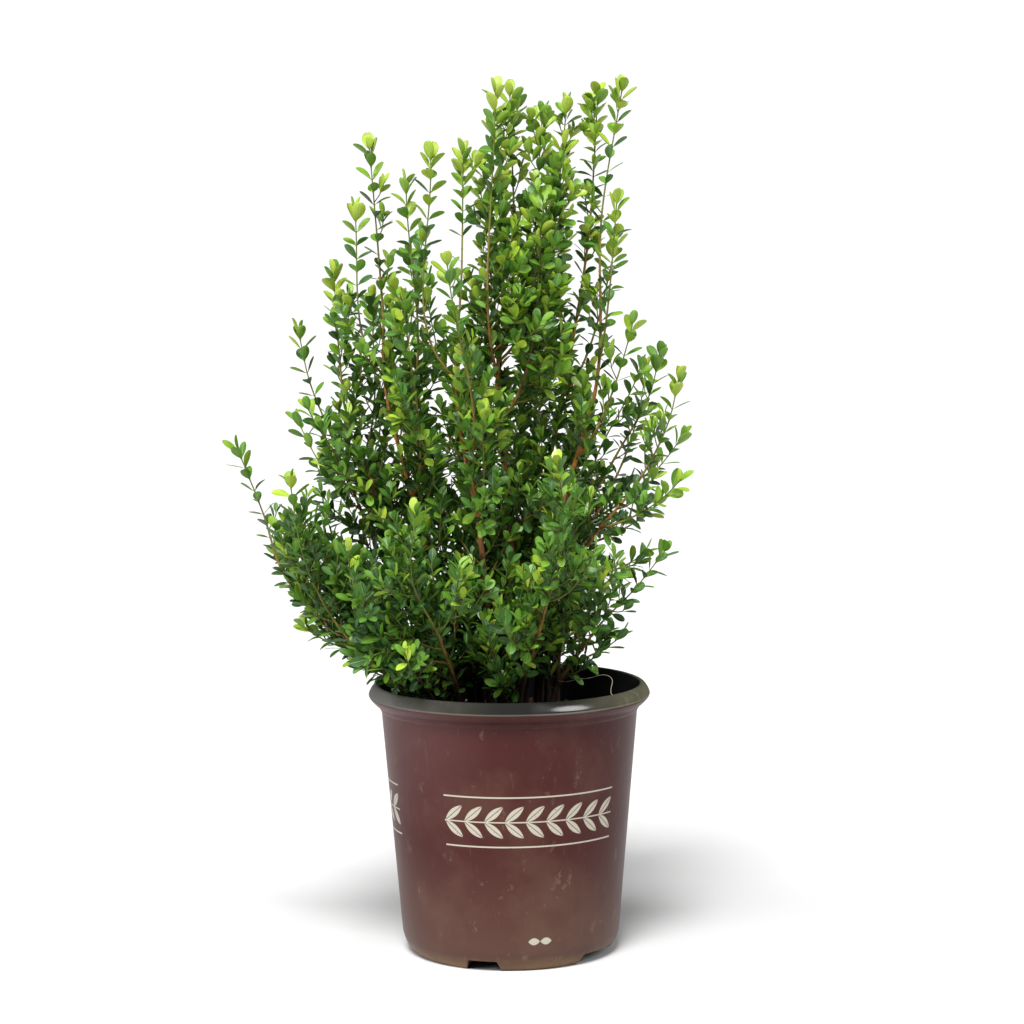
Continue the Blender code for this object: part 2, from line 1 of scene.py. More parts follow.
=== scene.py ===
"""A young boxwood in a round-rimmed nursery pot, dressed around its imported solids.

The origin is at the centre of the pot's underside, +Z up, and -Y is the front. Lengths are in metres.
"""

import itertools
import math
import random

import bpy
import numpy as np
from mathutils import Matrix, Vector, geometry, noise
from mathutils.bvhtree import BVHTree


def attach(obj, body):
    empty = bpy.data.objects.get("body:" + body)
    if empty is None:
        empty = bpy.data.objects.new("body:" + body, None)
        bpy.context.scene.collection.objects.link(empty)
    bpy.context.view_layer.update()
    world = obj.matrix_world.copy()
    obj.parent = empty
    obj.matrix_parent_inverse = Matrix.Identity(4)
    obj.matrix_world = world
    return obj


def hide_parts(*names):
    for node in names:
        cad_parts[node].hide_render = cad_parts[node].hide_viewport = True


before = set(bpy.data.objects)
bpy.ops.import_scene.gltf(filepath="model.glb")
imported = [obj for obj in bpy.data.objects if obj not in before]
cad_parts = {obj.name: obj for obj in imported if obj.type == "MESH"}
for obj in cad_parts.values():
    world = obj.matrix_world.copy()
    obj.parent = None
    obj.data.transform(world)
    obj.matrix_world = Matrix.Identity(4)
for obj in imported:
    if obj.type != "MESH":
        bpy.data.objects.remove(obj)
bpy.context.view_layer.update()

# Camera
# A long lens 2.4 metres in front of the pot, at about four fifths of the shrub's height and tipped
# down a little, so that the far side of the rim shows above the near side.
MM = 0.001
CAMERA_PLACE = (0.0034, -2.4, 0.605)
CAMERA_TIP = math.radians(5.45)
CAMERA_ROLL = math.radians(-0.4)
LENS = 99.7
SENSOR_WIDTH = 36.0


def added(kind, name, location=(0, 0, 0), **settings):
    """A new object of one of Blender's kinds, with nothing else selected."""
    bpy.ops.object.select_all(action="DESELECT")
    kind(location=location, **settings)
    bpy.context.object.name = name
    return bpy.context.object


aim = Matrix.Rotation(math.pi / 2 - CAMERA_TIP, 3, "X") @ Matrix.Rotation(CAMERA_ROLL, 3, "Z")
camera = added(bpy.ops.object.camera_add, "camera", CAMERA_PLACE, rotation=aim.to_euler())
camera.data.sensor_width = SENSOR_WIDTH
camera.data.lens = LENS
bpy.context.scene.camera = camera
bpy.context.scene.view_settings.view_transform = "Standard"

# Floor and light
# A smooth white studio floor that runs on into a white background. One soft light stands high in
# front, weaker ones left and right, in an even white room.
FLOOR_SIDE = 30.0
ROOM_LIGHT = 0.115
SEEN_LIGHT = 1.05
SUNS = (("key_light", 5.50, 22, (33, 0, -12)), ("left_light", 2.15, 32, (62, 0, -62)),
        ("right_light", 1.50, 28, (54, 0, 58)))


class Value:
    """A number that a material works out, which can be used in sums."""

    def __init__(self, socket):
        self.socket = socket

    def math(self, operation, *others, clamp=False):
        """One step of working with this number and others."""
        step = self.socket.id_data.nodes.new("ShaderNodeMath")
        step.operation = operation
        step.use_clamp = clamp
        for place, item in enumerate((self, *others)):
            feed(step.inputs[place], item)
        return Value(step.outputs[0])

    def __add__(self, other):
        return self.math("ADD", other)

    __radd__ = __add__

    def __mul__(self, other):
        return self.math("MULTIPLY", other)

    __rmul__ = __mul__

    def __neg__(self):
        return self.math("MULTIPLY", -1.0)

    def __sub__(self, other):
        return self.math("SUBTRACT", other)

    def __rsub__(self, other):
        return -self + other

    def __truediv__(self, other):
        return self.math("DIVIDE", other)

    def __pow__(self, other):
        return self.math("POWER", other)

    def __abs__(self):
        return self.math("ABSOLUTE")

    def clamped(self):
        """The number, kept between 0 and 1."""
        return self.math("ADD", 0.0, clamp=True)

    def over(self, limit, softness):
        """From 0 to 1 as the number passes a limit."""
        return ((self - limit) / softness + 0.5).clamped()

    def under(self, limit, softness):
        """From 1 to 0 as the number passes a limit."""
        return ((limit - self) / softness + 0.5).clamped()


def feed(socket, value):
    """Give a socket a link or a fixed value."""
    if isinstance(value, Value):
        socket.id_data.links.new(value.socket, socket)
    else:
        socket.default_value = value


class Finish:
    """A material that is put together node by node."""

    def __init__(self, name, **fixed):
        self.material = bpy.data.materials.new(name)
        self.material.use_nodes = True
        self.nodes = self.material.node_tree.nodes
        self.shader = self.nodes["Principled BSDF"]
        self.place = self.node("TexCoord", {}, {}, "Object")
        for socket, value in fixed.items():
            self.shader.inputs[socket.replace("_", " ")].default_value = value

    def node(self, kind, settings, values, output=0):
        """Add a node with its settings and what its sockets get, and give one of its outputs."""
        step = self.nodes.new("ShaderNode" + kind)
        for setting, choice in settings.items():
            if setting == "stops":
                while len(step.color_ramp.elements) > 1:
                    step.color_ramp.elements.remove(step.color_ramp.elements[-1])
                step.color_ramp.elements[0].position = choice[0][0]
                for place, _ in choice[1:]:
                    step.color_ramp.elements.new(place)
                for element, (place, color) in zip(step.color_ramp.elements, choice):
                    element.color = (*color, 1.0)
            else:
                setattr(step, setting, choice)
        for socket, value in values.items():
            feed(step.inputs[socket], value)
        return Value(step.outputs[output])

    def noted(self, name):
        """A number that is noted on the corners of a piece."""
        return self.node("Attribute", {"attribute_name": name}, {}, "Fac")

    def parts(self, vector):
        """The three numbers of a place."""
        step = self.nodes.new("ShaderNodeSeparateXYZ")
        feed(step.inputs[0], vector)
        return [Value(output) for output in step.outputs]

    def cloud(self, scale, detail=3.0, roughness=0.5, squeeze=None):
        """Soft random values from 0 to 1, drawn out along the axes that squeeze makes small."""
        place = self.place
        if squeeze:
            place = self.node("VectorMath", {"operation": "MULTIPLY"}, {0: place, 1: squeeze})
        return self.node("TexNoise", {}, {"Vector": place, "Scale": scale, "Detail": detail,
                                          "Roughness": roughness})

    def mix(self, share, first, second):
        """A colour between two others."""
        first = first if isinstance(first, Value) else (*first, 1.0)
        second = second if isinstance(second, Value) else (*second, 1.0)
        return self.node("Mix", {"data_type": "RGBA"}, {0: share, 6: first, 7: second}, 2)

    def bump(self, height, distance, strength=1.0):
        """A relief on the surface."""
        feed(self.shader.inputs["Normal"],
             self.node("Bump", {}, {"Height": height, "Distance": distance, "Strength": strength}))

    def color(self, value):
        """Set the surface colour."""
        feed(self.shader.inputs["Base Color"], value)

    def roughness(self, value):
        """Set the roughness."""
        feed(self.shader.inputs["Roughness"], value)


floor = added(bpy.ops.mesh.primitive_plane_add, "floor", size=FLOOR_SIDE)
floor_finish = Finish("studio_floor", Roughness=0.6)
floor_finish.color(floor_finish.mix(floor_finish.cloud(3.0), (0.57, 0.57, 0.57), (0.59, 0.59, 0.59)))
floor.data.materials.append(floor_finish.material)

room = bpy.data.worlds.new("room")
bpy.context.scene.world = room
room.use_nodes = True
room_nodes = room.node_tree.nodes
background = room_nodes["Background"]
ray = Value(room_nodes.new("ShaderNodeLightPath").outputs["Is Camera Ray"])
feed(background.inputs["Strength"], ROOM_LIGHT + ray * (SEEN_LIGHT - ROOM_LIGHT))
background.inputs["Color"].default_value = (1.0, 1.0, 1.0, 1.0)

for light_name, strength, breadth, turn in SUNS:
    light = added(bpy.ops.object.light_add, light_name, type="SUN",
                  rotation=[math.radians(angle) for angle in turn])
    light.data.energy = strength
    light.data.angle = math.radians(breadth)

# Pot
# The real pot is one blow-moulded plastic shell, maroon outside and black inside and on its rolled
# rim, with gaps in its foot ring and drain holes in its raised floor. It carries a printed ornament.
WALL_FOOT = (93.1 * MM, 18.0 * MM)
WALL_TOP = (109.2 * MM, 206.4 * MM)
POT_SIDES = 144
WALL_STEPS = 10
FOOT_GAPS = ((-15.6, 16.0), (63.5, 41.0), (164.4, 16.0), (243.5, 41.0))
FOOT_GAP_HEIGHT = 8.3 * MM
FOOT_GAP_RISE = 3.4 * MM
FOOT_GAP_SLOPE = 3.2
GAP_CUT_MIDDLE = 85 * MM
GAP_CUT_DEPTH = 24 * MM
GAP_CUT_BELOW = -3 * MM
GAP_CUT_STEPS = 8
DRAIN_HOLE_RADIUS = 5.5 * MM
DRAIN_HOLES_OUT = 66.0 * MM
DRAIN_CUT_MIDDLE = 8 * MM
DRAIN_CUT_DEPTH = 12 * MM
DRAIN_HOLE_SIDES = 28
SHARP_EDGE = 34
PRINT_MIDDLE = math.radians(11.7)
PRINT_EVERY = math.tau / 3
PRINT_HEIGHT = 129.0 * MM
PRINT_WALL_RADIUS = 104.0 * MM
PRINT_RULES = 21.0 * MM
INK_EDGE = 0.35 * MM
SPRIG_LENGTH = 17.5 * MM
SPRIGS_IN_PRINT = 9
SPRIG_RISE = 6.8 * MM
SPRIG_LEAN = math.radians(40)
SPRIG_LEAF = (10.5 * MM, 3.4 * MM)
SMALL_PAIR_TURN = math.radians(15)
SMALL_PAIR_HEIGHT = 26.5 * MM
SMALL_PAIR_APART = 5.2 * MM
SMALL_PAIR_WALL_RADIUS = 95.0 * MM
SMALL_LEAF = (5.0 * MM, 3.0 * MM)


def turned(name, outline, sides):
    """A round body drawn up ring by ring from an outline of (radius, height), closed at both ends."""
    radius, height = outline[0]
    piece = added(bpy.ops.mesh.primitive_circle_add, name, (0, 0, height), vertices=sides,
                  radius=radius, fill_type="TRIFAN")
    piece.data.name = name
    bpy.ops.object.transform_apply(location=True, rotation=True, scale=True)
    bpy.ops.object.mode_set(mode="EDIT")
    bpy.ops.mesh.select_mode(type="EDGE")
    bpy.ops.mesh.select_all(action="SELECT")
    bpy.ops.mesh.region_to_loop()
    for next_radius, next_height in outline[1:]:
        bpy.ops.mesh.extrude_edges_move(TRANSFORM_OT_translate={"value": (0, 0, next_height - height)})
        factor = next_radius / radius
        bpy.ops.transform.resize(value=(factor, factor, 1.0), center_override=(0, 0, next_height))
        radius, height = next_radius, next_height
    bpy.ops.mesh.edge_face_add()
    bpy.ops.mesh.poke()
    bpy.ops.mesh.select_all(action="SELECT")
    bpy.ops.mesh.remove_doubles(threshold=1e-6)
    bpy.ops.mesh.normals_make_consistent(inside=False)
    bpy.ops.mesh.select_mode(type="VERT")
    bpy.ops.object.mode_set(mode="OBJECT")
    return piece


def pick(piece):
    """Select one piece and nothing else."""
    bpy.ops.object.select_all(action="DESELECT")
    bpy.context.view_layer.objects.active = piece
    piece.select_set(True)


def cut_away(piece, cutter):
    """Cut one body out of another."""
    pick(piece)
    bpy.ops.object.modifier_add(type="BOOLEAN")
    piece.modifiers[-1].operation = "DIFFERENCE"
    piece.modifiers[-1].solver = "EXACT"
    piece.modifiers[-1].object = cutter
    bpy.ops.object.modifier_apply(modifier=piece.modifiers[-1].name)
    bpy.data.objects.remove(cutter)


def smooth(piece, degrees):
    """Shade a piece smooth, with edges sharper than an angle kept crisp."""
    pick(piece)
    bpy.ops.object.shade_smooth_by_angle(angle=math.radians(degrees))


def in_metres(outline):
    """An outline that is given in millimetres."""
    return [(radius * MM, height * MM) for radius, height in outline]


def round_pot(angle, reach, height):
    """A place round the pot's axis, by its angle from the front."""
    return reach * math.sin(angle), -reach * math.cos(angle), height


foot_outline = [(24.0, 0.0), (30.0, 0.0), (33.0, 7.0), (74.0, 7.0), (75.4, 1.0), (76.2, 0.0),
                (83.0, 0.0), (84.6, 0.8), (86.6, 2.8), (88.6, 5.6), (90.2, 8.6), (91.6, 12.2),
                (92.6, 15.6)]
wall_outline = [[low + (high - low) * step / WALL_STEPS for low, high in zip(WALL_FOOT, WALL_TOP)]
                for step in range(WALL_STEPS + 1)]
rim_outline = [(109.3, 207.6), (109.6, 208.3), (110.4, 208.9), (110.8, 209.7), (111.0, 210.9),
               (111.4, 211.7), (112.5, 212.3), (114.0, 213.3), (116.2, 215.3), (118.3, 217.6),
               (119.5, 219.2), (120.1, 220.7), (120.0, 222.0), (119.5, 223.4), (118.6, 225.2),
               (117.4, 227.1), (116.1, 228.7), (114.8, 229.7), (113.4, 230.2), (112.2, 230.0),
               (111.3, 229.3), (110.9, 228.0), (110.4, 225.0), (109.9, 220.0), (109.3, 215.4),
               (108.4, 211.0)]
inside_outline = [(100.2, 118.0), (91.3, 18.0), (90.6, 13.0), (89.0, 10.3), (86.0, 9.0), (34.5, 9.0),
                  (31.5, 2.0), (20.0, 2.0)]
pot_outline = in_metres(foot_outline) + wall_outline + in_metres(rim_outline + inside_outline)
pot = turned("pot_shell", pot_outline, POT_SIDES)
for gap_middle, gap_width in FOOT_GAPS:
    middle = math.radians(gap_middle)
    start = math.radians(gap_middle - gap_width / 2 - FOOT_GAP_SLOPE)
    gap_block = added(bpy.ops.mesh.primitive_plane_add, "foot_gap", size=1.0)
    for vertex in gap_block.data.vertices:
        reach = GAP_CUT_MIDDLE + GAP_CUT_DEPTH * vertex.co.x
        lift = FOOT_GAP_HEIGHT + FOOT_GAP_RISE * vertex.co.x if vertex.co.y > 0 else GAP_CUT_BELOW
        vertex.co = round_pot(start, reach, lift)
    bpy.ops.object.mode_set(mode="EDIT")
    bpy.ops.mesh.select_all(action="SELECT")
    bpy.ops.mesh.spin(steps=GAP_CUT_STEPS, angle=-math.radians(gap_width + 2 * FOOT_GAP_SLOPE),
                      center=(0, 0, 0), axis=(0, 0, 1))
    bpy.ops.mesh.select_all(action="SELECT")
    bpy.ops.mesh.normals_make_consistent(inside=False)
    bpy.ops.object.mode_set(mode="OBJECT")
    for vertex in gap_block.data.vertices:
        if vertex.co.z > 0:
            turn = math.atan2(vertex.co.x, -vertex.co.y) - middle
            turn = (turn + math.pi) % math.tau - math.pi
            turn *= gap_width / (gap_width + 2 * FOOT_GAP_SLOPE)
            reach = math.hypot(vertex.co.x, vertex.co.y)
            vertex.co = round_pot(middle + turn, reach, vertex.co.z)
    cut_away(pot, gap_block)
    hole_place = round_pot(middle, DRAIN_HOLES_OUT, DRAIN_CUT_MIDDLE)
    cut_away(pot, added(bpy.ops.mesh.primitive_cylinder_add, "drain_hole", hole_place,
                        vertices=DRAIN_HOLE_SIDES, radius=DRAIN_HOLE_RADIUS, depth=DRAIN_CUT_DEPTH))
smooth(pot, SHARP_EDGE)

plastic = Finish("pot_plastic", Specular_IOR_Level=0.17, Coat_Roughness=0.16)
pot_x, pot_y, pot_z = plastic.parts(plastic.place)
pot_radius = (pot_x * pot_x + pot_y * pot_y) ** 0.5
pot_angle = pot_x.math("ARCTAN2", -pot_y)

# The outer face's radius at each height, on the wall, at the foot's corner and under the rim
wall_line = (pot_z * 0.0849 + 91.57 * MM).math("MINIMUM", pot_z * 0.533 + 83.5 * MM)
wall_line = wall_line.math("MAXIMUM", pot_z * 0.6 - 18.6 * MM)
skin = (pot_radius - wall_line).over(-0.6 * MM, 0.2 * MM) * pot_z.under(220.4 * MM, 0.5 * MM)

# Dust, scuffs and scrapes all over, earth at the foot, and a painted sheen high up at the left, lighter
# where the light from the left glances off the wall
scrapes = plastic.cloud(260.0, 4.0, 0.65, (1.0, 1.0, 0.12))
blotches = plastic.cloud(14.0, 4.0, 0.6)
specks = plastic.cloud(900.0, 2.0, 0.5)
scuffs = plastic.cloud(75.0, 6.0, 0.75, (1.0, 1.0, 0.6))
dust = blotches.over(0.58, 0.22) * 0.26 + scrapes.over(0.67, 0.08) * 0.26
dust = dust + scuffs.over(0.63, 0.06) * 0.50
low_dust = pot_z.under(48 * MM, 110 * MM) * 0.50
earth = pot_z.under(6 * MM, 13 * MM) * (0.30 + 1.2 * blotches.over(0.50, 0.34))
maroon = plastic.mix(blotches, (0.0350, 0.0064, 0.0055), (0.0500, 0.0112, 0.0094))
maroon = plastic.mix(dust.math("ADD", low_dust, clamp=True), maroon, (0.106, 0.064, 0.045))
# Painted sheen: the wall is made lighter high up on its left, standing in for light glancing off it
# from the left
painted_left_sheen = pot_x.under(-48 * MM, 70 * MM) * pot_z.over(160 * MM, 90 * MM) * 0.36
maroon = plastic.mix(painted_left_sheen, maroon, (0.130, 0.062, 0.062))
maroon = plastic.mix(earth.clamped() * 0.75, maroon, (0.195, 0.118, 0.048))


def printed_leaf(along, across, half_length, half_width):
    """Where a pointed leaf is printed, from the distances to its middle."""
    return (half_width - (along / half_length) ** 2 * half_width - across).over(0.0, INK_EDGE)


# The ornament: two rules with leaf pairs along a stem between them, and a small pair by itself
turn_on_print = (pot_angle - PRINT_MIDDLE + PRINT_EVERY / 2).math("FLOORED_MODULO", PRINT_EVERY)
along_print = (turn_on_print - PRINT_EVERY / 2) * PRINT_WALL_RADIUS
up_print = pot_z - PRINT_HEIGHT
in_block = abs(along_print).under(SPRIG_LENGTH * SPRIGS_IN_PRINT / 2, 0.4 * MM)
rules = abs(abs(up_print) - PRINT_RULES).under(0.65 * MM, INK_EDGE)
in_sprig = (along_print + SPRIG_LENGTH / 2).math("FLOORED_MODULO", SPRIG_LENGTH) - SPRIG_LENGTH / 2
off_stem = abs(up_print) - SPRIG_RISE
along_leaf = in_sprig * math.cos(SPRIG_LEAN) + off_stem * math.sin(SPRIG_LEAN)
across_leaf = abs(off_stem * math.cos(SPRIG_LEAN) - in_sprig * math.sin(SPRIG_LEAN))
sprig_leaf = printed_leaf(along_leaf, across_leaf, *SPRIG_LEAF) * across_leaf.over(0.28 * MM, 0.3 * MM)
sprig_stem = abs(up_print).under(0.55 * MM, INK_EDGE)
small_along = abs((pot_angle - SMALL_PAIR_TURN) * SMALL_PAIR_WALL_RADIUS) - SMALL_PAIR_APART
small_leaf = printed_leaf(small_along, abs(pot_z - SMALL_PAIR_HEIGHT), *SMALL_LEAF)
printed = in_block * (rules + sprig_leaf + sprig_stem).clamped()
printed = (printed + small_leaf).clamped() * specks.over(0.30, 0.10) * skin
outer = plastic.mix(printed * 0.88, maroon, (0.395, 0.370, 0.300))

# The rim: lighter towards its sides, with dusty blotches and scuffs, a painted highlight along the
# lower edge of its lip, and rubbed glossy at the front
on_rim = pot_z.over(220 * MM, 1 * MM) * (pot_radius - 111.8 * MM).over(0.0, 1 * MM)
rim_side = (abs(pot_x - 15 * MM) / (105 * MM)) ** 3
rim_dust_and_highlight = 0.34 + blotches.over(0.47, 0.30) * 0.36 + scuffs.over(0.60, 0.15) * 0.26
# The band at the foot of the rim's outer face is made lighter: a painted highlight along its lower edge
rim_dust_and_highlight = (rim_dust_and_highlight * (rim_side * 1.3 + 0.02) + pot_z.under(221.6 * MM, 0.8 * MM) * 0.45) * on_rim
black = plastic.mix(on_rim, (0.0030, 0.0030, 0.0036), (0.0052, 0.0054, 0.0056))
rim_dust_and_highlight_color = plastic.mix(pot_x.over(-55 * MM, 90 * MM), (0.128, 0.126, 0.116), (0.150, 0.141, 0.088))
black = plastic.mix(rim_dust_and_highlight.clamped(), black, rim_dust_and_highlight_color)
plastic.color(plastic.mix(skin, black, outer))
inside = (1 - skin) * (1 - on_rim)
rubbed = (1 - ((pot_x - 50 * MM) / (34 * MM)) ** 2).clamped() * pot_y.under(0.0, 20 * MM)
feed(plastic.shader.inputs["Coat Weight"], rubbed * on_rim)
plastic.roughness(0.30 + 0.14 * blotches + 0.10 * scrapes + 0.35 * inside
                  + on_rim * (0.50 - 0.72 * rubbed))
plastic.bump(scrapes * 0.25 + specks * 0.2 + blotches * 1.4, 0.25 * MM, 0.5)
pot.data.materials.clear()
pot.data.materials.append(plastic.material)
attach(pot, "root")
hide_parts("pot")

# Soil
# Dark bark-based potting mix that fills the pot to a little below its rim, loose and uneven on top.
# It is poured in round the root ball and settles by watering.
SOIL_TOP = 198.0 * MM
SOIL_RINGS = 26
SOIL_SIDES = 120
SOIL_EDGE_DROP = 1.2 * MM

# Height of the unevenness on top, and how close it comes
SOIL_LUMPS = (1.8 * MM, 130.0)
SOIL_WAVES = (3.2 * MM, 38.0)
soil_outline = in_metres([(28.0, 2.4), (30.8, 2.4), (34.2, 9.4), (85.2, 9.4), (90.0, 13.4),
                          (90.8, 18.4), (106.3, 195.8)])
soil_edge = soil_outline[-1][0]
soil_outline += [(soil_edge * (1 - step / SOIL_RINGS), SOIL_TOP - SOIL_EDGE_DROP * (step == 0))
                 for step in range(SOIL_RINGS)]
soil = turned("soil_mix", soil_outline, SOIL_SIDES)


def soil_height(x, y):
    """How high the loose top of the soil stands at a place."""
    here = Vector((x, y, 0.0))
    lumps = SOIL_LUMPS[0] * noise.noise(here * SOIL_LUMPS[1] + Vector((7, 3, 1)))
    return SOIL_TOP + SOIL_WAVES[0] * noise.noise(here * SOIL_WAVES[1]) + lumps


for vertex in soil.data.vertices:
    if vertex.co.z > SOIL_TOP - 0.1 * MM:
        vertex.co.z = soil_height(vertex.co.x, vertex.co.y)
smooth(soil, 60)
mix_finish = Finish("potting_soil", Specular_IOR_Level=0.2)
crumbs = mix_finish.node("TexVoronoi", {"feature": "F1"}, {"Vector": mix_finish.place, "Scale": 330.0},
                         "Distance")
clods = mix_finish.cloud(160.0, 5.0, 0.7)
soil_color = mix_finish.mix(clods, (0.006, 0.0045, 0.0035), (0.045, 0.029, 0.018))
mix_finish.color(mix_finish.mix(crumbs.over(0.45, 0.4) * 0.7, soil_color, (0.012, 0.009, 0.007)))
mix_finish.roughness(0.80 + 0.18 * clods)
mix_finish.bump(clods + crumbs * 0.6, 2.2 * MM)
soil.data.materials.append(mix_finish.material)
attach(soil, "root")
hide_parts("soil")

# Wood of the stems
# A clump of upright woody stems, each with side shoots that fork again. The bark is brown and
# fissured at the foot, tan higher up and green at the tips, and the wood is a little thicker at
# each leaf joint. Every stem grows along the same route as its solid.
STEM_FOOT_Z = 204.0 * MM
STEM_BELOW_Z = 180.0 * MM
FRONT_FOOT_Y = -25 * MM
TIP_RADIUS = 0.5 * MM
TIP_LEAVES = 5 * MM
FOOT_FLARE = 12 * MM
JOINT_SWELL = 1.22

# By level of a twig, from the stem (0) to the last side shoots (3)
BARK_SIDES = (9, 7, 5, 4)
RINGS_APART = (8 * MM, 11 * MM, 12 * MM, 14 * MM)
PAIRS_APART = (10.4 * MM, 8.8 * MM, 7.8 * MM, 7.0 * MM)
SHOOTS_APART = (13.0 * MM, 13.0 * MM, 12.0 * MM)
SHOOT_LENGTHS = ((24 * MM, 84 * MM), (19 * MM, 52 * MM), (12 * MM, 34 * MM))
SHOOT_CHANCE = (0.94, 0.90, 0.70)
LEVEL_OF_SHOOTS = (2, 2, 3)
SHORTEST_SHOOT = 12 * MM
LOWEST_SHOOTS = (7 * MM, 16 * MM)
LOW_PART = 75 * MM
FRESH_SHARE = 0.12
TRIES = 7
UP = Vector((0.0, 0.0, 1.0))

# How leaf joints crowd together at a tip, and how wood thins, less evenly on the front stems
FRESH_SPACING = 1.25
FRONT_SPACING = 0.80
TIP_SPACING = 0.58
TIP_REACH = 30 * MM
THINNING = 1.35
FRONT_THINNING = 2.3

# How far up a stem is bare, how a side shoot varies, rises and thickens, and how far apart they are
BARE_SHARE = 0.36
FRONT_BARE_SHARE = 0.13
SHOOT_VARIETY = (0.62, 1.2)
SHOOT_RISE = (0.15, 0.50)
SHOOT_BASE = (0.58 * MM, 0.007)
SHORTER = 0.85
STEP_VARIETY = (0.8, 1.25)
STEP_SHARE = (0.62, 0.76)

# The pot's wall and rim, which twigs and leaves stay off, and the open place at the front right
ABOVE_RIM = 233 * MM
INSIDE_RIM = 104 * MM
OUTSIDE_RIM = 123 * MM
BELOW_RIM = 205 * MM
ABOVE_SOIL = 5 * MM
OPEN_LEFT = 8 * MM
OPEN_BACK = 35 * MM

# Radius and place of the foot, points on the way to the tip, and the main side shoots, each with
# its share of the way up and its tip, all in millimetres
STEMS = {
    "stem_tall_middle": (
        4.4, (-6, 0), ((3, -5, 341), (-8, 0, 492), (6, 5, 576), (4, 10, 731)),
        ((0.30, (48, -60, 405)), (0.56, (-8, -12, 733)), (0.60, (32, 8, 716)), (0.58, (50, -14, 688)),
         (0.48, (32, -30, 642)))),
    "stem_tall_right": (
        3.8, (13, 13), ((23, 15, 350), (50, 22, 487), (70, 28, 606), (79, 32, 731)),
        ((0.34, (70, 70, 470)), (0.55, (52, 44, 724)), (0.52, (96, 62, 610)))),
    "stem_tall_far_right": (
        3.4, (24, -5), ((44, -8, 370), (76, -10, 489), (80, -12, 623), (98, -15, 733)),
        ((0.42, (106, -34, 540)), (0.58, (92, -40, 640)))),
    "stem_tall_left": (
        3.6, (-16, -18), ((-23, -30, 355), (-42, -42, 474), (-37, -38, 581), (-35, -28, 681)),
        ((0.36, (-20, -88, 470)), (0.46, (-48, -84, 590)), (0.62, (-62, -44, 677)))),
    "stem_left_spire": (
        3.6, (-32, -4), ((-75, -8, 370), (-102, -12, 480), (-104, -12, 548), (-114, -8, 687)),
        ((0.40, (-84, -66, 560)), (0.52, (-82, -42, 656)), (0.62, (-126, -26, 634)))),
    "stem_left_middle": (
        3.2, (-48, 9), ((-92, 6, 350), (-134, 15, 444), (-143, 18, 513), (-147, 20, 583)),
        ((0.50, (-168, -30, 470)), (0.60, (-116, 58, 560)))),
    "stem_left_back": (
        3.0, (-44, 27), ((-112, 44, 338), (-155, 62, 442), (-172, 68, 485), (-182, 72, 532)),
        ((0.36, (-120, 108, 430)), (0.55, (-186, 100, 452)))),
    "stem_far_left": (
        3.0, (-62, -8), ((-138, -15, 268), (-188, -20, 324), (-207, -20, 380), (-228, -20, 435)),
        ((0.26, (-150, 44, 340)), (0.42, (-192, -66, 372)))),
    "stem_low_left": (
        2.8, (-56, -30), ((-131, -66, 275), (-166, -82, 340), (-179, -86, 414)),
        ((0.34, (-174, -54, 290)), (0.44, (-130, -112, 360)))),
    "stem_right_high": (
        3.2, (33, 17), ((45, 28, 332), (92, 45, 417), (122, 50, 470), (133, 52, 511)),
        ((0.50, (151, 26, 440)), (0.60, (118, 84, 500)))),
    "stem_right_middle": (
        3.2, (40, -14), ((56, -22, 329), (111, -30, 406), (134, -34, 452), (144, -36, 494)),
        ((0.36, (120, 0, 345)), (0.55, (143, -72, 410)))),
    "stem_right_low": (
        2.8, (34, -34), ((69, -48, 276), (106, -60, 318), (132, -66, 352)),
        ((0.30, (98, -20, 276)), (0.50, (88, -100, 350)))),
    "stem_front_left": (
        2.3, (-40, -46), ((-56, -85, 278), (-78, -115, 332), (-74, -125, 392)),
        ((0.30, (-110, -116, 292)), (0.46, (-38, -138, 350)))),
    "stem_front_right": (
        3.0, (8, -38), ((28, -76, 294), (46, -110, 364), (40, -122, 430)),
        ((0.26, (-6, -120, 300)), (0.50, (72, -126, 360)))),
    "stem_back_left": (
        3.2, (-25, 35), ((-66, 70, 327), (-91, 105, 465), (-84, 110, 540), (-73, 112, 614)),
        ((0.30, (-112, 132, 360)), (0.44, (-40, 150, 470)))),
    "stem_back_middle": (
        3.2, (2, 37), ((12, 72, 345), (26, 112, 465), (32, 120, 530), (38, 124, 602)),
        ((0.28, (-10, 142, 350)), (0.44, (66, 150, 470)))),
    "stem_back_right": (
        3.0, (29, 41), ((59, 72, 327), (100, 108, 405), (116, 118, 450), (124, 120, 496)),
        ((0.30, (62, 136, 340)), (0.46, (136, 84, 380)))),
    "stem_over_rim": (
        2.3, (-60, -50), ((-84, -84, 258), (-104, -111, 272), (-120, -128, 264)),
        ((0.30, (-131, -92, 270)),)),
}

# Height, and how far the tips of side shoots may reach there: left, right, front and back
REACH = ((205, -84, 52, -84, 70), (232, -104, 58, -100, 92), (249, -110, 62, -118, 116),
         (262, -136, 84, -134, 128), (283, -162, 92, -140, 138), (301, -176, 106, -144, 144),
         (335, -196, 116, -146, 152), (369, -200, 118, -146, 156), (386, -200, 126, -142, 158),
         (403, -178, 131, -138, 158), (437, -156, 144, -128, 156), (454, -166, 142, -122, 154),
         (471, -150, 132, -116, 150), (505, -156, 96, -104, 144), (539, -168, 92, -94, 138),
         (556, -150, 80, -88, 134), (589, -114, 84, -78, 128), (623, -118, 78, -66, 110),
         (656, -106, 80, -58, 80), (690, -64, 84, -50, 60), (707, -10, 94, -44, 52),
         (740, -6, 100, -36, 44))
CROWN_TOP = 742
CROWN_SQUARENESS = 2.6

# Height, and the two sides of the gap in the crown that opens left of the tall stems
CLEFT_BACK = 60
CLEFT = ((585, -72, -70), (600, -76, -56), (615, -92, -44), (640, -92, -38), (656, -96, -44),
         (673, -104, -52), (700, -108, -46))

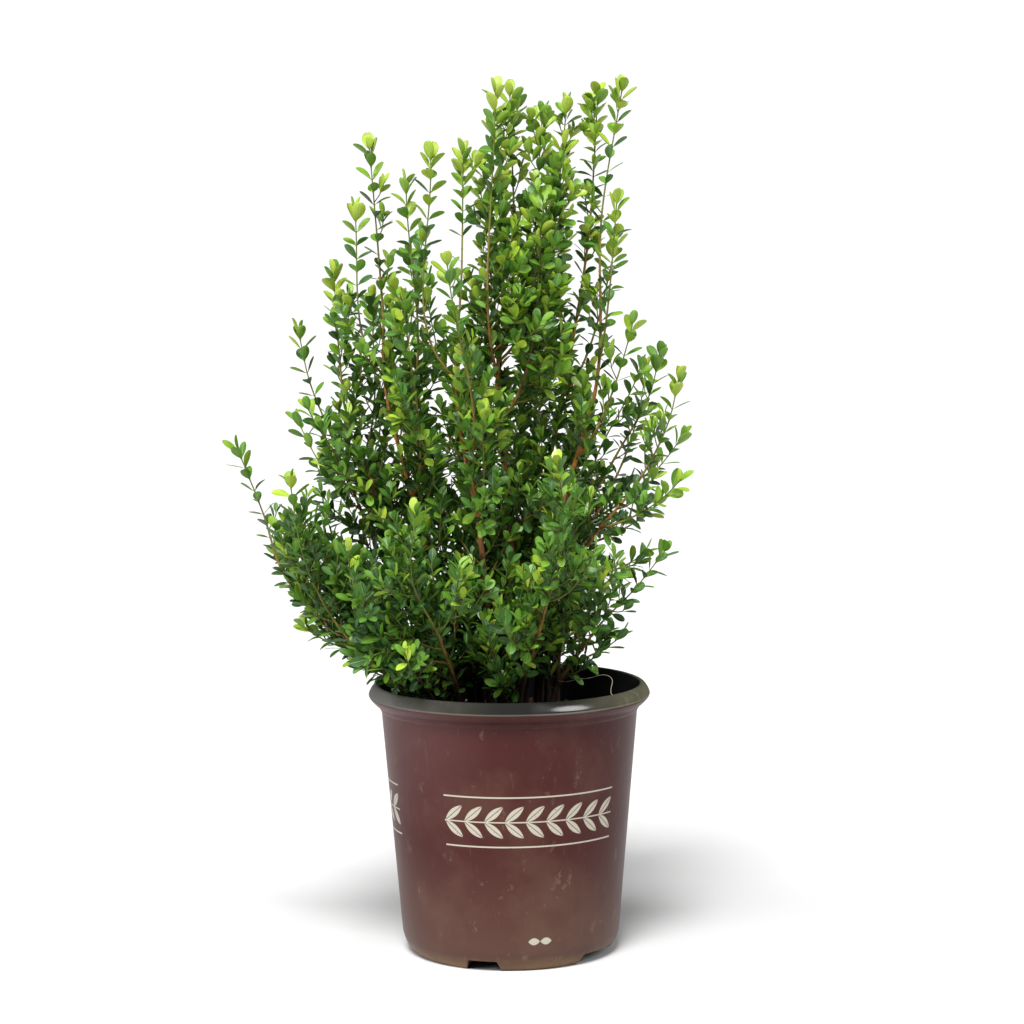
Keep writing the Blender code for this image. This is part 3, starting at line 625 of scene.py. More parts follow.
# Stems whose side shoots are fewer or longer than usual: share of shoots, share of length
USUAL_GROWTH = (1.0, 1.0)
GROWTH = {
    "stem_tall_middle": (1.30, 1.15), "stem_tall_right": (0.80, 0.90),
    "stem_tall_far_right": (0.60, 0.80), "stem_left_spire": (0.95, 0.95),
    "stem_left_back": (0.85, 1.15), "stem_far_left": (0.95, 1.30), "stem_low_left": (0.95, 1.30),
    "stem_right_high": (0.60, 0.80), "stem_right_middle": (1.00, 0.90),
    "stem_right_low": (0.80, 0.90), "stem_front_left": (1.05, 1.15),
    "stem_back_left": (0.90, 0.95), "stem_back_middle": (1.15, 1.10),
    "stem_back_right": (0.45, 0.80), "stem_over_rim": (1.10, 1.20),
}

# Thin places in the crown: across, up, radius and the share of side shoots that grow there
THIN_PLACES = ((-68, 600, 48, 0.18), (-70, 540, 42, 0.22), (-64, 500, 28, 0.25), (-112, 650, 50, 0.50),
               (-176, 412, 33, 0.25), (82, 404, 32, 0.15), (84, 457, 24, 0.55), (86, 508, 33, 0.18),
               (92, 570, 36, 0.45), (106, 640, 46, 0.50))


def between(table, height):
    """Values of a table of heights, worked out between its rows."""
    if height <= table[0][0]:
        return table[0][1:]
    for low, high in zip(table, table[1:]):
        if height <= high[0]:
            share = (height - low[0]) / (high[0] - low[0])
            return [near + (far - near) * share for near, far in zip(low[1:], high[1:])]
    return table[-1][1:]


def place_in_crown(x, y, z):
    """Where a place is at its height, across and front to back, both from -1 to 1 in the crown."""
    left, right, front, back = between(REACH, z)
    across = (x - (left + right) / 2) / ((right - left) / 2)
    deep = (y - (front + back) / 2) / ((back - front) / 2)
    return across, deep


def in_crown(point):
    """True inside the crown's rounded outline, but not in its cleft."""
    x, y, z = point / MM
    across, deep = place_in_crown(x, y, z)
    if abs(across) ** CROWN_SQUARENESS + abs(deep) ** CROWN_SQUARENESS > 1.0 or z > CROWN_TOP:
        return False
    cleft_left, cleft_right = between(CLEFT, z)
    return z < CLEFT[0][0] or y > CLEFT_BACK or not cleft_left < x < cleft_right


def fullness(point):
    """The share of side shoots that grow at a place."""
    share = 1.0
    for across, up, radius, thin in THIN_PLACES:
        if math.hypot(point.x / MM - across, point.z / MM - up) < radius:
            share = min(share, thin)
    return share


def depth_in_crown(point):
    """How near a point is to the crown's axis, from 1 there to 0 at its outline."""
    return 1.0 - math.hypot(*place_in_crown(*(point / MM)))


def square_to(direction, line):
    """A direction turned square to a line, or any that is square to it."""
    if direction is None:
        return line.orthogonal().normalized()
    return (direction - line * direction.dot(line)).normalized()


def clear_of_pot(point):
    """True where a point is off the pot's wall, rim and soil, and not in the open front right."""
    if point.z > ABOVE_RIM:
        return True
    radius = math.hypot(point.x, point.y)
    if radius < INSIDE_RIM:
        in_open_place = point.x > OPEN_LEFT and point.y < OPEN_BACK
        return not in_open_place and point.z > SOIL_TOP + ABOVE_SOIL
    return radius > OUTSIDE_RIM and point.z > BELOW_RIM


class Neighbours:
    """What has grown so far, kept by its place, so that no twig or leaf crosses another."""

    CELL = 21 * MM

    def __init__(self):
        self.cells = {}

    def placed(self, points, faces):
        """A small surface ready for the crossing test, and the cell where its middle is."""
        middle = sum(points, Vector()) / len(points)
        cell = tuple(math.floor(value / self.CELL) for value in middle)
        return BVHTree.FromPolygons(points, faces), cell

    def add(self, points, faces, owner):
        """Keep one small surface."""
        tree, cell = self.placed(points, faces)
        self.cells.setdefault(cell, []).append((tree, owner))

    def is_free(self, points, faces, owner):
        """True where a small surface crosses nothing but its own twig."""
        tree, cell = self.placed(points, faces)
        for shift in itertools.product((-1, 0, 1), repeat=3):
            for other, other_owner in self.cells.get(tuple(map(sum, zip(cell, shift))), ()):
                if other_owner != owner and tree.overlap(other):
                    return False
        return True


class Path:
    """A smooth curve through given points, read by the length along it."""

    STEPS = 24

    def __init__(self, points, start, end=None):
        self.points = [points[0]]
        for index, (here, after) in enumerate(zip(points, points[1:])):
            reach = (after - here).length / 3
            leave = start if index == 0 else (after - points[index - 1]).normalized()
            last = index == len(points) - 2
            arrive = (after - here).normalized() if last else (points[index + 2] - here).normalized()
            if last and end:
                arrive = end
            self.points += geometry.interpolate_bezier(
                here, here + leave * reach, after - arrive * reach, after, self.STEPS)[1:]
        self.marks = [0.0]
        for here, after in zip(self.points, self.points[1:]):
            self.marks.append(self.marks[-1] + (after - here).length)
        self.length = self.marks[-1]

    def at(self, distance):
        """Place and direction at a length along the curve."""
        distance = min(max(distance, 0.0), self.length)
        index = 0
        while index < len(self.marks) - 2 and self.marks[index + 1] < distance:
            index += 1
        here, after = self.points[index], self.points[index + 1]
        share = (distance - self.marks[index]) / (self.marks[index + 1] - self.marks[index])
        return here.lerp(after, share), (after - here).normalized()


class Twig:
    """A stem or side shoot, with the places of its leaf joints."""

    def __init__(self, path, base, level, fresh, turn, bare):
        self.path = path
        self.base = base
        self.level = level
        self.fresh = fresh
        self.length = path.length - TIP_LEAVES
        self.joints = []
        side = Vector((math.cos(turn), math.sin(turn), 0.0))
        spacing = PAIRS_APART[level] * (FRESH_SPACING if fresh and level else 1.0)
        self.thinning = THINNING
        if level == 0 and path.points[0].y < FRONT_FOOT_Y:
            spacing *= FRONT_SPACING
            self.thinning = FRONT_THINNING
        marks = []
        mark = self.length - 0.3 * MM
        while mark > bare:
            marks.append(mark)
            from_tip = self.length - mark
            mark -= spacing * min(1.0, TIP_SPACING + from_tip / TIP_REACH)
        for order, mark in enumerate(sorted(marks)):
            centre, along = path.at(mark)
            side = square_to(side, along)
            across = side if order % 2 else along.cross(side)
            self.joints.append((mark, centre, along, across))

    def radius(self, distance):
        """Half thickness, thinning towards the tip."""
        share = min(max(distance / self.length, 0.0), 1.0)
        return TIP_RADIUS + (self.base - TIP_RADIUS) * (1.0 - share) ** self.thinning

    def stretches(self, room):
        """Three-sided lengths of its wood, with some room round them."""
        count = max(1, math.ceil(self.length / (11 * MM)))
        rings = []
        side = None
        for index in range(count + 1):
            distance = self.length * index / count
            centre, along = self.path.at(distance)
            side = square_to(side, along)
            reach = self.radius(distance) + room
            rings.append([centre + Matrix.Rotation(math.tau * corner / 3, 3, along) @ side * reach
                          for corner in range(3)])
        for low, high in zip(rings, rings[1:]):
            yield low + high, ((0, 1, 4, 3), (1, 2, 5, 4), (2, 0, 3, 5))


def side_shoot(start, along, outward, length, rise, draw):
    """The way of a side shoot that leaves at an angle and turns up to the light."""
    heading = (along * 0.80 + outward * 0.66 + UP * rise).normalized()
    end = start + heading * length
    wobble = Vector([draw.uniform(-1, 1) for _ in range(3)]) * 0.07 * length
    leave = (outward + along * 0.60).normalized()
    arrive = (heading + UP * 0.75).normalized()
    return Path([start, end + wobble], leave, arrive)


def chosen_twigs(name, number, grown):
    """A stem and its main side shoots, along the same routes as in its solid."""
    foot_radius, (foot_x, foot_y), points, chosen = STEMS[name]
    foot = Vector((foot_x * MM, foot_y * MM, STEM_FOOT_Z))
    path = Path([foot] + [Vector(point) * MM for point in points], UP)
    bare = path.length * (FRONT_BARE_SHARE if foot.y < FRONT_FOOT_Y else BARE_SHARE)
    twigs = [Twig(path, foot_radius * MM, 0, True, number * 2.4, bare)]
    for order, (share, tip) in enumerate(chosen):
        start, along = path.at((path.length - 11 * MM) * share)
        toward = Vector(tip) * MM - start
        outward = square_to(toward, along)
        rise = (toward.normalized() + UP * 0.6).normalized()
        way = Path([start, Vector(tip) * MM], (outward + along * 0.8).normalized(), rise)
        base = min(1.4 * MM, twigs[0].radius(path.length * share) * 0.8)
        twigs.append(Twig(way, base, 1, True, number * 2.4 + order, 14 * MM))
    for twig in twigs:
        for points, faces in twig.stretches(0.0):
            grown.add(points, faces, twig)
    return twigs


def has_room(shoot, parent, grown):
    """True where a side shoot's wood is in the crown, off the pot and crosses nothing."""
    return in_crown(shoot.path.points[-1]) and all(
        clear_of_pot(points[3]) and grown.is_free(points, faces, parent)
        for points, faces in shoot.stretches(0.4 * MM))


def add_side_shoots(parent, twigs, grown, draw, growth):
    """Shoots in pairs, each pair crosswise to the one below, where the crown has room for them."""
    level = min(parent.level, 2)
    lush, reaching = growth
    mark = 12 * MM
    if parent.level == 0:
        mark = LOWEST_SHOOTS[0] if parent.path.points[0].y < FRONT_FOOT_Y else LOWEST_SHOOTS[1]
    side = Matrix.Rotation(draw.uniform(0, math.tau), 3, "Z") @ Vector((1.0, 0.0, 0.0))
    order = 0
    while mark < parent.length - 15 * MM:
        centre, along = parent.path.at(mark)
        side = square_to(side, along)
        share = mark / parent.length
        for way in (1, -1):
            across = (side if order % 2 else along.cross(side)) * way
            across = (Matrix.Rotation(draw.uniform(-0.5, 0.5), 3, along) @ across).normalized()
            least, most = SHOOT_LENGTHS[level]
            wanted = least + (most - least) * (1 - share) ** 1.2
            wanted = wanted * draw.uniform(*SHOOT_VARIETY) * reaching
            wanted = min(wanted, (parent.length - mark) * 0.85 + 5 * MM)
            lucky = draw.random() < SHOOT_CHANCE[level] * lush * fullness(centre)
            fresh = draw.random() < FRESH_SHARE
            turn = draw.uniform(0, math.tau)
            for _ in range(TRIES):
                path = side_shoot(centre, along, across, wanted, draw.uniform(*SHOOT_RISE), draw)
                base = min(parent.radius(mark) * 0.72, SHOOT_BASE[0] + wanted * SHOOT_BASE[1])
                shoot = Twig(path, base, LEVEL_OF_SHOOTS[level], fresh, turn, 6 * MM)
                if lucky and wanted > SHORTEST_SHOOT and has_room(shoot, parent, grown):
                    twigs.append(shoot)
                    for points, faces in shoot.stretches(0.0):
                        grown.add(points, faces, shoot)
                    break
                wanted *= SHORTER
        close = STEP_SHARE[0] if parent.level == 0 and mark < LOW_PART else STEP_SHARE[1]
        mark += SHOOTS_APART[level] * draw.uniform(*STEP_VARIETY) * close
        order += 1


def tube(twig, corners, faces, ages):
    """Add the wood of one twig: rings of corners, closer and thicker at its leaf joints."""
    sides = BARK_SIDES[twig.level]
    count = max(2, round(twig.length / RINGS_APART[twig.level]))
    stops = {twig.length * index / count: 1.0 for index in range(count + 1)}
    for mark, *_ in twig.joints:
        stops[mark] = JOINT_SWELL
        if twig.level < 3:
            stops[mark - 1.1 * MM] = 1.0
            stops[mark + 1.0 * MM] = 1.0
    ordered = []
    for distance in sorted(stops):
        if 0.0 <= distance <= twig.length and (not ordered or distance - ordered[-1][0] > 0.7 * MM):
            ordered.append((distance, stops[distance]))
    rings = []
    side = None
    if twig.level == 0:
        place, along = twig.path.at(0.0)
        rings.append((place - UP * (STEM_FOOT_Z - STEM_BELOW_Z), along, 1.0, 0.0))
    for distance, swell in ordered:
        place, along = twig.path.at(distance)
        rings.append((place, along, swell, distance))
    for place, along, swell, distance in rings:
        side = square_to(side, along)
        other = along.cross(side)
        thick = twig.radius(distance)
        radius = thick * swell
        if twig.level == 0 and distance < FOOT_FLARE:
            radius *= 1.0 + 0.35 * (1 - distance / FOOT_FLARE) ** 2
        for corner in range(sides):
            angle = math.tau * corner / sides
            rough = 1.0
            if twig.level == 0:
                rough += 0.10 * noise.noise(Vector((corner * 1.7, distance * 90, twig.base * 1000)))
            corners.append(place + (side * math.cos(angle) + other * math.sin(angle)) * radius * rough)
            ages.append(min(1.0, max(0.0, (thick - 0.55 * MM) / (1.9 * MM))))
    first = len(corners) - sides * len(rings)
    for ring in range(len(rings) - 1):
        low = first + ring * sides
        for corner in range(sides):
            after = (corner + 1) % sides
            faces.append((low + corner, low + after, low + sides + after, low + sides + corner))
    faces.append(tuple(reversed(range(first, first + sides))))
    faces.append(tuple(range(len(corners) - sides, len(corners))))


def new_piece(name, corners, faces):
    """A smooth piece from corners and faces."""
    mesh = bpy.data.meshes.new(name)
    mesh.from_pydata(corners, [], faces)
    mesh.shade_smooth()
    piece = bpy.data.objects.new(name, mesh)
    bpy.context.scene.collection.objects.link(piece)
    return piece


def note(piece, name, values):
    """Write a number on each corner of a piece, for its material to read."""
    piece.data.attributes.new(name, "FLOAT", "POINT").data.foreach_set("value", values)


grown = Neighbours()
stem_twigs = {name: chosen_twigs(name, number, grown) for number, name in enumerate(STEMS)}
for first_seed, levels, least in ((700, (0, 1), 0.0), (800, (2,), 32 * MM)):
    for number, (name, twigs) in enumerate(stem_twigs.items()):
        draw = random.Random(first_seed + number)
        for parent in list(twigs):
            if parent.level in levels and parent.length > least:
                add_side_shoots(parent, twigs, grown, draw, GROWTH.get(name, USUAL_GROWTH))
bark = Finish("twig_bark", Specular_IOR_Level=0.22)
wood_age = bark.noted("wood_age")
streaks = bark.cloud(620.0, 4.0, 0.65, (1.0, 1.0, 0.22))
patches = bark.cloud(90.0, 3.0, 0.6)
bark_age = (wood_age + (patches - 0.5) * 0.35 + (streaks - 0.5) * 0.25).clamped()
bark_color = bark.node("ValToRGB", {"stops": (
    (0.0, (0.110, 0.142, 0.026)), (0.22, (0.180, 0.128, 0.032)), (0.45, (0.270, 0.126, 0.028)),
    (0.75, (0.290, 0.112, 0.024)), (1.0, (0.160, 0.068, 0.026)))}, {"Fac": bark_age})
bark_color = bark.mix(streaks.over(0.60, 0.15) * wood_age * 0.6, bark_color, (0.060, 0.036, 0.022))
# Painted shade: the bark darkens to near black towards the soil, where the stems stand in shade
painted_low_shade = bark.parts(bark.place)[2].under(256 * MM, 44 * MM)
bark.color(bark.mix(painted_low_shade * (0.80 + 0.25 * patches), bark_color, (0.013, 0.010, 0.008)))
bark.roughness(0.55 + 0.3 * wood_age)
bark.bump(streaks * wood_age + patches * 0.3, 0.7 * MM)
for name, twigs in stem_twigs.items():
    corners, faces, ages = [], [], []
    for twig in twigs:
        tube(twig, corners, faces, ages)
    wood = new_piece(name.replace("stem", "wood"), corners, faces)
    note(wood, "wood_age", ages)
    wood.data.materials.append(bark.material)
    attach(wood, "root")
    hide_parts(name)

# Dry strand over the rim
# A thin dead shoot leaves the lowest right stem, bends down and rests its end on the rim. It has
# dried to a pale straw colour.
STRAND_RADIUS = 0.27 * MM
STRAND_POINTS = ((48, -39, 236), (53, -41, 237), (59, -46, 240.5), (66, -51, 239.5), (73.6, -56, 243.8),
                 (80.1, -60, 245.7), (86.4, -66, 243.4), (86.0, -70, 239.0), (83.9, -73, 235.0),
                 (84.2, -75.6, 231.2), (85.4, -77.6, 230.7))
strand = added(bpy.ops.curve.primitive_nurbs_path_add, "dry_strand")
strand.data.splines[0].points.add(len(STRAND_POINTS) - len(strand.data.splines[0].points))
for knot, place in zip(strand.data.splines[0].points, STRAND_POINTS):
    knot.co = (place[0] * MM, place[1] * MM, place[2] * MM, 1.0)
strand.data.splines[0].use_endpoint_u = True
strand.data.resolution_u = 5
strand.data.bevel_depth = STRAND_RADIUS
strand.data.bevel_resolution = 1
strand.data.use_fill_caps = True
bpy.ops.object.convert(target="MESH")
bpy.ops.object.shade_smooth()
straw = Finish("dry_shoot", Specular_IOR_Level=0.3)
straw_shade = straw.cloud(150.0, 3.0, 0.6)
straw.color(straw.mix(straw_shade, (0.150, 0.120, 0.075), (0.360, 0.310, 0.225)))
straw.roughness(0.50 + 0.30 * straw_shade)
strand.data.materials.append(straw.material)
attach(strand, "root")

# Bark chips and white grains on the soil
# The mix holds shredded bark and light white grains of rock that was puffed up by heat. Some of both
# lie loose on its top, at any angle.
CHIPS = 430
GRAINS = 85
STREWN_RADIUS = 98 * MM


def joined_copies(name, corners, faces, places):
    """One mesh of many copies of a modelled piece, each moved by its own matrix."""
    all_corners = []
    all_faces = []
    for number, matrix in enumerate(places):
        turn = np.array(matrix.to_3x3())
        all_corners.append(corners @ turn.T + np.array(matrix.translation))
        all_faces += [[corner + number * len(corners) for corner in face] for face in faces]
    piece = new_piece(name, np.concatenate(all_corners), all_faces)
    piece.data.set_sharp_from_angle(angle=math.radians(50))
    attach(piece, "root")
    return piece


def taken_apart(pattern):
    """The corners and faces of a modelled piece, which is then removed."""
    corners = np.array([vertex.co for vertex in pattern.data.vertices])
    faces = [tuple(polygon.vertices) for polygon in pattern.data.polygons]
    bpy.data.objects.remove(pattern)
    return corners, faces


def scattered(count, seed, sizes, stretches, sink):
    """Random places on the soil's top between the stems, each with a size and a turn."""
    draw = random.Random(seed)
    matrices = []
    while len(matrices) < count:
        angle = draw.uniform(0, math.tau)
        radius = STREWN_RADIUS * math.sqrt(draw.random())
        x, y = radius * math.cos(angle), radius * math.sin(angle)
        size = draw.uniform(*sizes)
        if any(math.hypot(x - foot[0] * MM, y - foot[1] * MM) < thick * 1.4 * MM + size * 0.7
               for thick, foot, *_ in STEMS.values()):
            continue
        stretch = Matrix.Diagonal([size * draw.uniform(*limits) for limits in stretches] + [1.0])
        tilt = Matrix.Rotation(draw.uniform(-0.35, 0.35), 4, "X")
        tilt = tilt @ Matrix.Rotation(draw.uniform(-0.35, 0.35), 4, "Y")
        spun = Matrix.Rotation(draw.uniform(0, math.tau), 4, "Z")
        place = Matrix.Translation((x, y, soil_height(x, y) + size * sink))
        matrices.append(place @ spun @ tilt @ stretch)
    return matrices


chip = added(bpy.ops.mesh.primitive_cube_add, "chip", size=1.0)
bpy.ops.object.mode_set(mode="EDIT")
bpy.ops.mesh.select_all(action="SELECT")
bpy.ops.transform.resize(value=(1.0, 0.5, 0.26))
bpy.ops.mesh.subdivide(number_cuts=1)
bpy.ops.object.mode_set(mode="OBJECT")
chip_draw = random.Random(5)
for vertex in chip.data.vertices:
    vertex.co *= 1.0 - 0.35 * abs(vertex.co.x)
    vertex.co += Vector([chip_draw.uniform(-0.045, 0.045) for _ in range(3)])
chip_places = scattered(CHIPS, 21, (5 * MM, 10 * MM), ((0.8, 1.9), (0.6, 1.0), (0.5, 1.0)), 0.08)
chips = joined_copies("bark_chips", *taken_apart(chip), chip_places)
bark_mix = Finish("bark_chip", Specular_IOR_Level=0.25, Roughness=0.85)
chip_grain = bark_mix.cloud(120.0, 4.0, 0.6)
fibres = bark_mix.cloud(900.0, 3.0, 0.6, (0.4, 1.0, 1.0))
chip_color = bark_mix.mix(chip_grain.over(0.5, 0.4), (0.020, 0.011, 0.007), (0.085, 0.043, 0.022))
bark_mix.color(bark_mix.mix(fibres.over(0.55, 0.2) * 0.4, chip_color, (0.12, 0.075, 0.045)))
bark_mix.bump(fibres, 0.5 * MM)
chips.data.materials.append(bark_mix.material)

grain = added(bpy.ops.mesh.primitive_ico_sphere_add, "grain", subdivisions=2, radius=0.5)
grain_draw = random.Random(8)
for vertex in grain.data.vertices:
    vertex.co *= grain_draw.uniform(0.78, 1.12)
grain_places = scattered(GRAINS, 33, (2.2 * MM, 4.4 * MM), ((0.8, 1.3), (0.7, 1.0), (0.6, 1.0)), 0.25)
grains = joined_copies("white_grains", *taken_apart(grain), grain_places)
rock = Finish("expanded_rock", Specular_IOR_Level=0.2, Roughness=0.9)
pores = rock.cloud(700.0, 4.0, 0.7)
rock.color(rock.mix(pores.over(0.45, 0.3), (0.34, 0.31, 0.27), (0.74, 0.72, 0.68)))
rock.bump(pores, 0.6 * MM)
grains.data.materials.append(rock.material)

# Leaves
# Boxwood leaves stand in opposite pairs, each pair crosswise to the one below. They are leathery
# spoons with a blunt or notched end, glossy above and dull below, light green when young.
LEAF_THICKNESS = 0.02
ROW_PLACES = (0.0, 0.10, 0.26, 0.45, 0.65, 0.83, 0.95, 1.0)
FEW_PLACES = (0.0, 0.24, 0.58, 0.86, 1.0)
BROAD_WIDTHS = (0.036, 0.050, 0.182, 0.272, 0.302, 0.250, 0.150, 0.052)
SMALL_WIDTHS = (0.036, 0.050, 0.162, 0.236, 0.254, 0.206, 0.122, 0.044)
FEW_WIDTHS = (0.034, 0.150, 0.262, 0.190, 0.050)
TEST_ROWS = ((0.26, 0.16), (0.62, 0.29), (1.0, 0.10))

# How far a leaf leans out from its twig, in degrees, at the tip, below it and lower down, and its
# length in millimetres
TIP_SPREAD = (13, 34)
NEXT_SPREAD = (26, 50)
LOW_SPREAD = (34, 64)
LEAF_LENGTHS = (11.2, 14.2)
TIP_SHARE = (0.70, 0.95)
SPRIG_TIP_SHARE = (0.60, 0.85)
OLD_REACH = 70 * MM
MISSING_SHARE = 0.14
INNER_DEPTH = 0.38
LEAFY_LOW = 262 * MM
LEAFY_HIGH = 560 * MM
BROAD_UNTIL = 0.36
BROAD_KINDS = ("broad_cupped", "broad_cupped", "broad_arched")
SMALL_KINDS = ("small_cupped", "small_cupped", "small_arched", "small_flat")
INNER_KINDS = ("inner",)


def leaf_pattern(columns, places, widths, cup, arch, notch):
    """One leaf a unit long, drawn from a grid, cupped and arched, and given its thickness."""
    rows = len(places) - 1
    blade = added(bpy.ops.mesh.primitive_grid_add, "leaf", x_subdivisions=columns, y_subdivisions=rows,
                  size=1.0)
    inner = blade.vertex_groups.new(name="inner")
    for vertex in blade.data.vertices:
        across = vertex.co.x * 2
        row = round((vertex.co.y + 0.5) * rows)
        half = widths[row]
        along = places[row]
        on_edge = abs(across) > 0.99 or row in (0, rows)
        inner.add([vertex.index], 0.0 if on_edge else 1.0, "REPLACE")
        back = notch * (1 - abs(across)) if row == rows else 0.0
        lift = cup * half * across * across + arch * (along * along - 0.3 * along)
        vertex.co = (across * half, along - back, lift)
    bpy.ops.object.modifier_add(type="SOLIDIFY")
    wall = blade.modifiers[-1]
    wall.thickness = LEAF_THICKNESS
    wall.offset = -1.0
    wall.vertex_group = "inner"
    wall.material_offset = 1
    bpy.ops.object.modifier_apply(modifier=wall.name)
    bpy.ops.object.mode_set(mode="EDIT")
    bpy.ops.mesh.select_all(action="SELECT")
    bpy.ops.mesh.remove_doubles(threshold=1e-5)
    bpy.ops.object.mode_set(mode="OBJECT")
    mesh = blade.data
    drawn = {
        "corners": np.array([vertex.co for vertex in mesh.vertices]),
        "faces": np.array([list(polygon.vertices) for polygon in mesh.polygons]),
        "sides": [polygon.material_index for polygon in mesh.polygons],
        "spots": np.array([list(corner.uv) for corner in mesh.uv_layers[0].data]),
    }
    bpy.data.objects.remove(blade)
    return drawn


PATTERNS = {
    "broad_cupped": leaf_pattern(4, ROW_PLACES, BROAD_WIDTHS, 0.36, 0.10, 0.022),
    "broad_arched": leaf_pattern(4, ROW_PLACES, BROAD_WIDTHS, 0.22, -0.20, 0.018),
    "small_cupped": leaf_pattern(2, ROW_PLACES, SMALL_WIDTHS, 0.34, 0.06, 0.015),
    "small_arched": leaf_pattern(2, ROW_PLACES, SMALL_WIDTHS, 0.20, -0.22, 0.015),
    "small_flat": leaf_pattern(2, ROW_PLACES, SMALL_WIDTHS, 0.10, -0.06, 0.01),
    "inner": leaf_pattern(2, FEW_PLACES, FEW_WIDTHS, 0.25, -0.10, 0.0),
}


def leaf_surface(foot, axes):
    """A plain surface as large as a leaf, for the crossing test."""
    points = []
    for along, half in TEST_ROWS:
        for across in (-half, 0.0, half):
            lift = 0.3 * abs(across)
            points.append(foot + axes @ Vector((across, along, lift)))
    return points, ((0, 1, 4, 3), (1, 2, 5, 4), (3, 4, 7, 6), (4, 5, 8, 7))


def leaf_places(name, number, twigs, grown):
    """The leaves of a stem, each with its pattern's name, axes, foot, age with painted shade, and tone.
    """
    draw = random.Random(9000 + number)
    leaves = []
    for twig in twigs:
        last = len(twig.joints) - 1
        for order, (mark, centre, along, across) in enumerate(twig.joints):
            old = min((twig.length - mark) / OLD_REACH, 1.0)
            height = min(max((centre.z / MM - 230) / 500, 0.0), 1.0)
            # Leaves are darker the older they are and, as painted shade, the lower in the crown they
            # stand; high on the left they are darker still
            age_and_shade = 0.67 - 0.52 * height + 0.31 * old + draw.gauss(0, 0.11)
            if height > 0.7 and centre.x < -60 * MM:
                age_and_shade += 0.09
            sprig = twig.fresh and twig.level > 1
            if twig.fresh:
                age_and_shade -= (0.55 if sprig else 0.22) * (1 - old) ** 1.5
            inner = depth_in_crown(centre) > INNER_DEPTH and LEAFY_LOW < centre.z < LEAFY_HIGH
            for way in (1, -1):
                if draw.random() < MISSING_SHARE * (old > 0.9):
                    continue
                for attempt in range(TRIES):
                    loose = 0.30 + 0.09 * attempt
                    facing = Matrix.Rotation(draw.uniform(-loose, loose), 3, along) @ (across * way)
                    if order == last:
                        spread = draw.uniform(*TIP_SPREAD)
                    elif order == last - 1:
                        spread = draw.uniform(*NEXT_SPREAD)
                    else:
                        spread = draw.uniform(*LOW_SPREAD) + 12 * old
                    length = draw.uniform(*LEAF_LENGTHS) + 2.1 * height
                    if twig.level < 2:
                        length += 3.2 * (1 - old)
                    if order == last:
                        length *= draw.uniform(*(SPRIG_TIP_SHARE if sprig else TIP_SHARE))
                    angle = math.radians(spread)
                    heading = (along * math.cos(angle) + facing * math.sin(angle)).normalized()
                    heading = (heading + UP * draw.uniform(-0.08, 0.18)).normalized()
                    upper = square_to(along + UP * 0.45, heading)
                    upper = Matrix.Rotation(draw.gauss(0, loose), 3, heading) @ upper
                    foot = centre + facing * twig.radius(mark) * 0.8
                    right = heading.cross(upper) * draw.uniform(0.88, 1.08)
                    axes = Matrix((right, heading, upper)).transposed() * (length * MM)
                    points, faces = leaf_surface(foot, axes)
                    clear = clear_of_pot(points[7]) and clear_of_pot(points[4])
                    if clear and grown.is_free(points, faces, twig):
                        grown.add(points, faces, None)
                        kinds = BROAD_KINDS if age_and_shade < BROAD_UNTIL and not sprig else SMALL_KINDS
                        if inner and age_and_shade > BROAD_UNTIL:
                            kinds = INNER_KINDS
                        leaves.append((draw.choice(kinds), np.array(axes), np.array(foot),
                                       min(max(age_and_shade, 0.0), 1.0), draw.random()))
                        break
    return leaves


def blade_finish(name, upper):
    """The green of one side of the leaves, by their age with painted shade and their tone, with its
    midrib and veins.
    """
    finish = Finish(name, Specular_IOR_Level=0.38 if upper else 0.20)
    age_and_shade = finish.noted("leaf_age")
    tone = finish.noted("leaf_tone")
    across, along = finish.parts(finish.node("UVMap", {"uv_map": "blade"}, {}))[:2]
    from_rib = abs(across - 0.5)
    mottle = finish.cloud(260.0, 3.0, 0.6)
    veins = abs(((along - from_rib * 0.7) * 9.0).math("FRACT") - 0.5).under(0.10, 0.16)
    rib = from_rib.under(0.045, 0.05)
    shade_age = (age_and_shade + (tone - 0.5) * 0.68 + (mottle - 0.5) * 0.18).clamped()
    stops = ((0.0, (0.292, 0.400, 0.034)), (0.16, (0.182, 0.316, 0.021)), (0.40, (0.094, 0.224, 0.015)),
             (0.66, (0.046, 0.140, 0.017)), (1.0, (0.016, 0.056, 0.014)))
    green = finish.node("ValToRGB", {"stops": stops}, {"Fac": shade_age})
    if upper:
        green = finish.mix(rib * 0.36, green, (0.27, 0.35, 0.08))
        green = finish.mix(veins * 0.10, green, (0.22, 0.31, 0.07))
        finish.roughness(0.27 + 0.16 * mottle + 0.08 * tone)
        finish.bump(rib * -1.0 + veins * -0.3 + mottle * 0.5, 0.18 * MM, 0.6)
    else:
        green = finish.mix(0.38, green, (0.080, 0.122, 0.050))
        green = finish.mix(rib * 0.5, green, (0.22, 0.27, 0.11))
        finish.roughness(0.55 + 0.15 * mottle)
        finish.bump(rib * 1.0 + veins * 0.3, 0.18 * MM, 0.6)
    finish.color(green)
    return finish.material


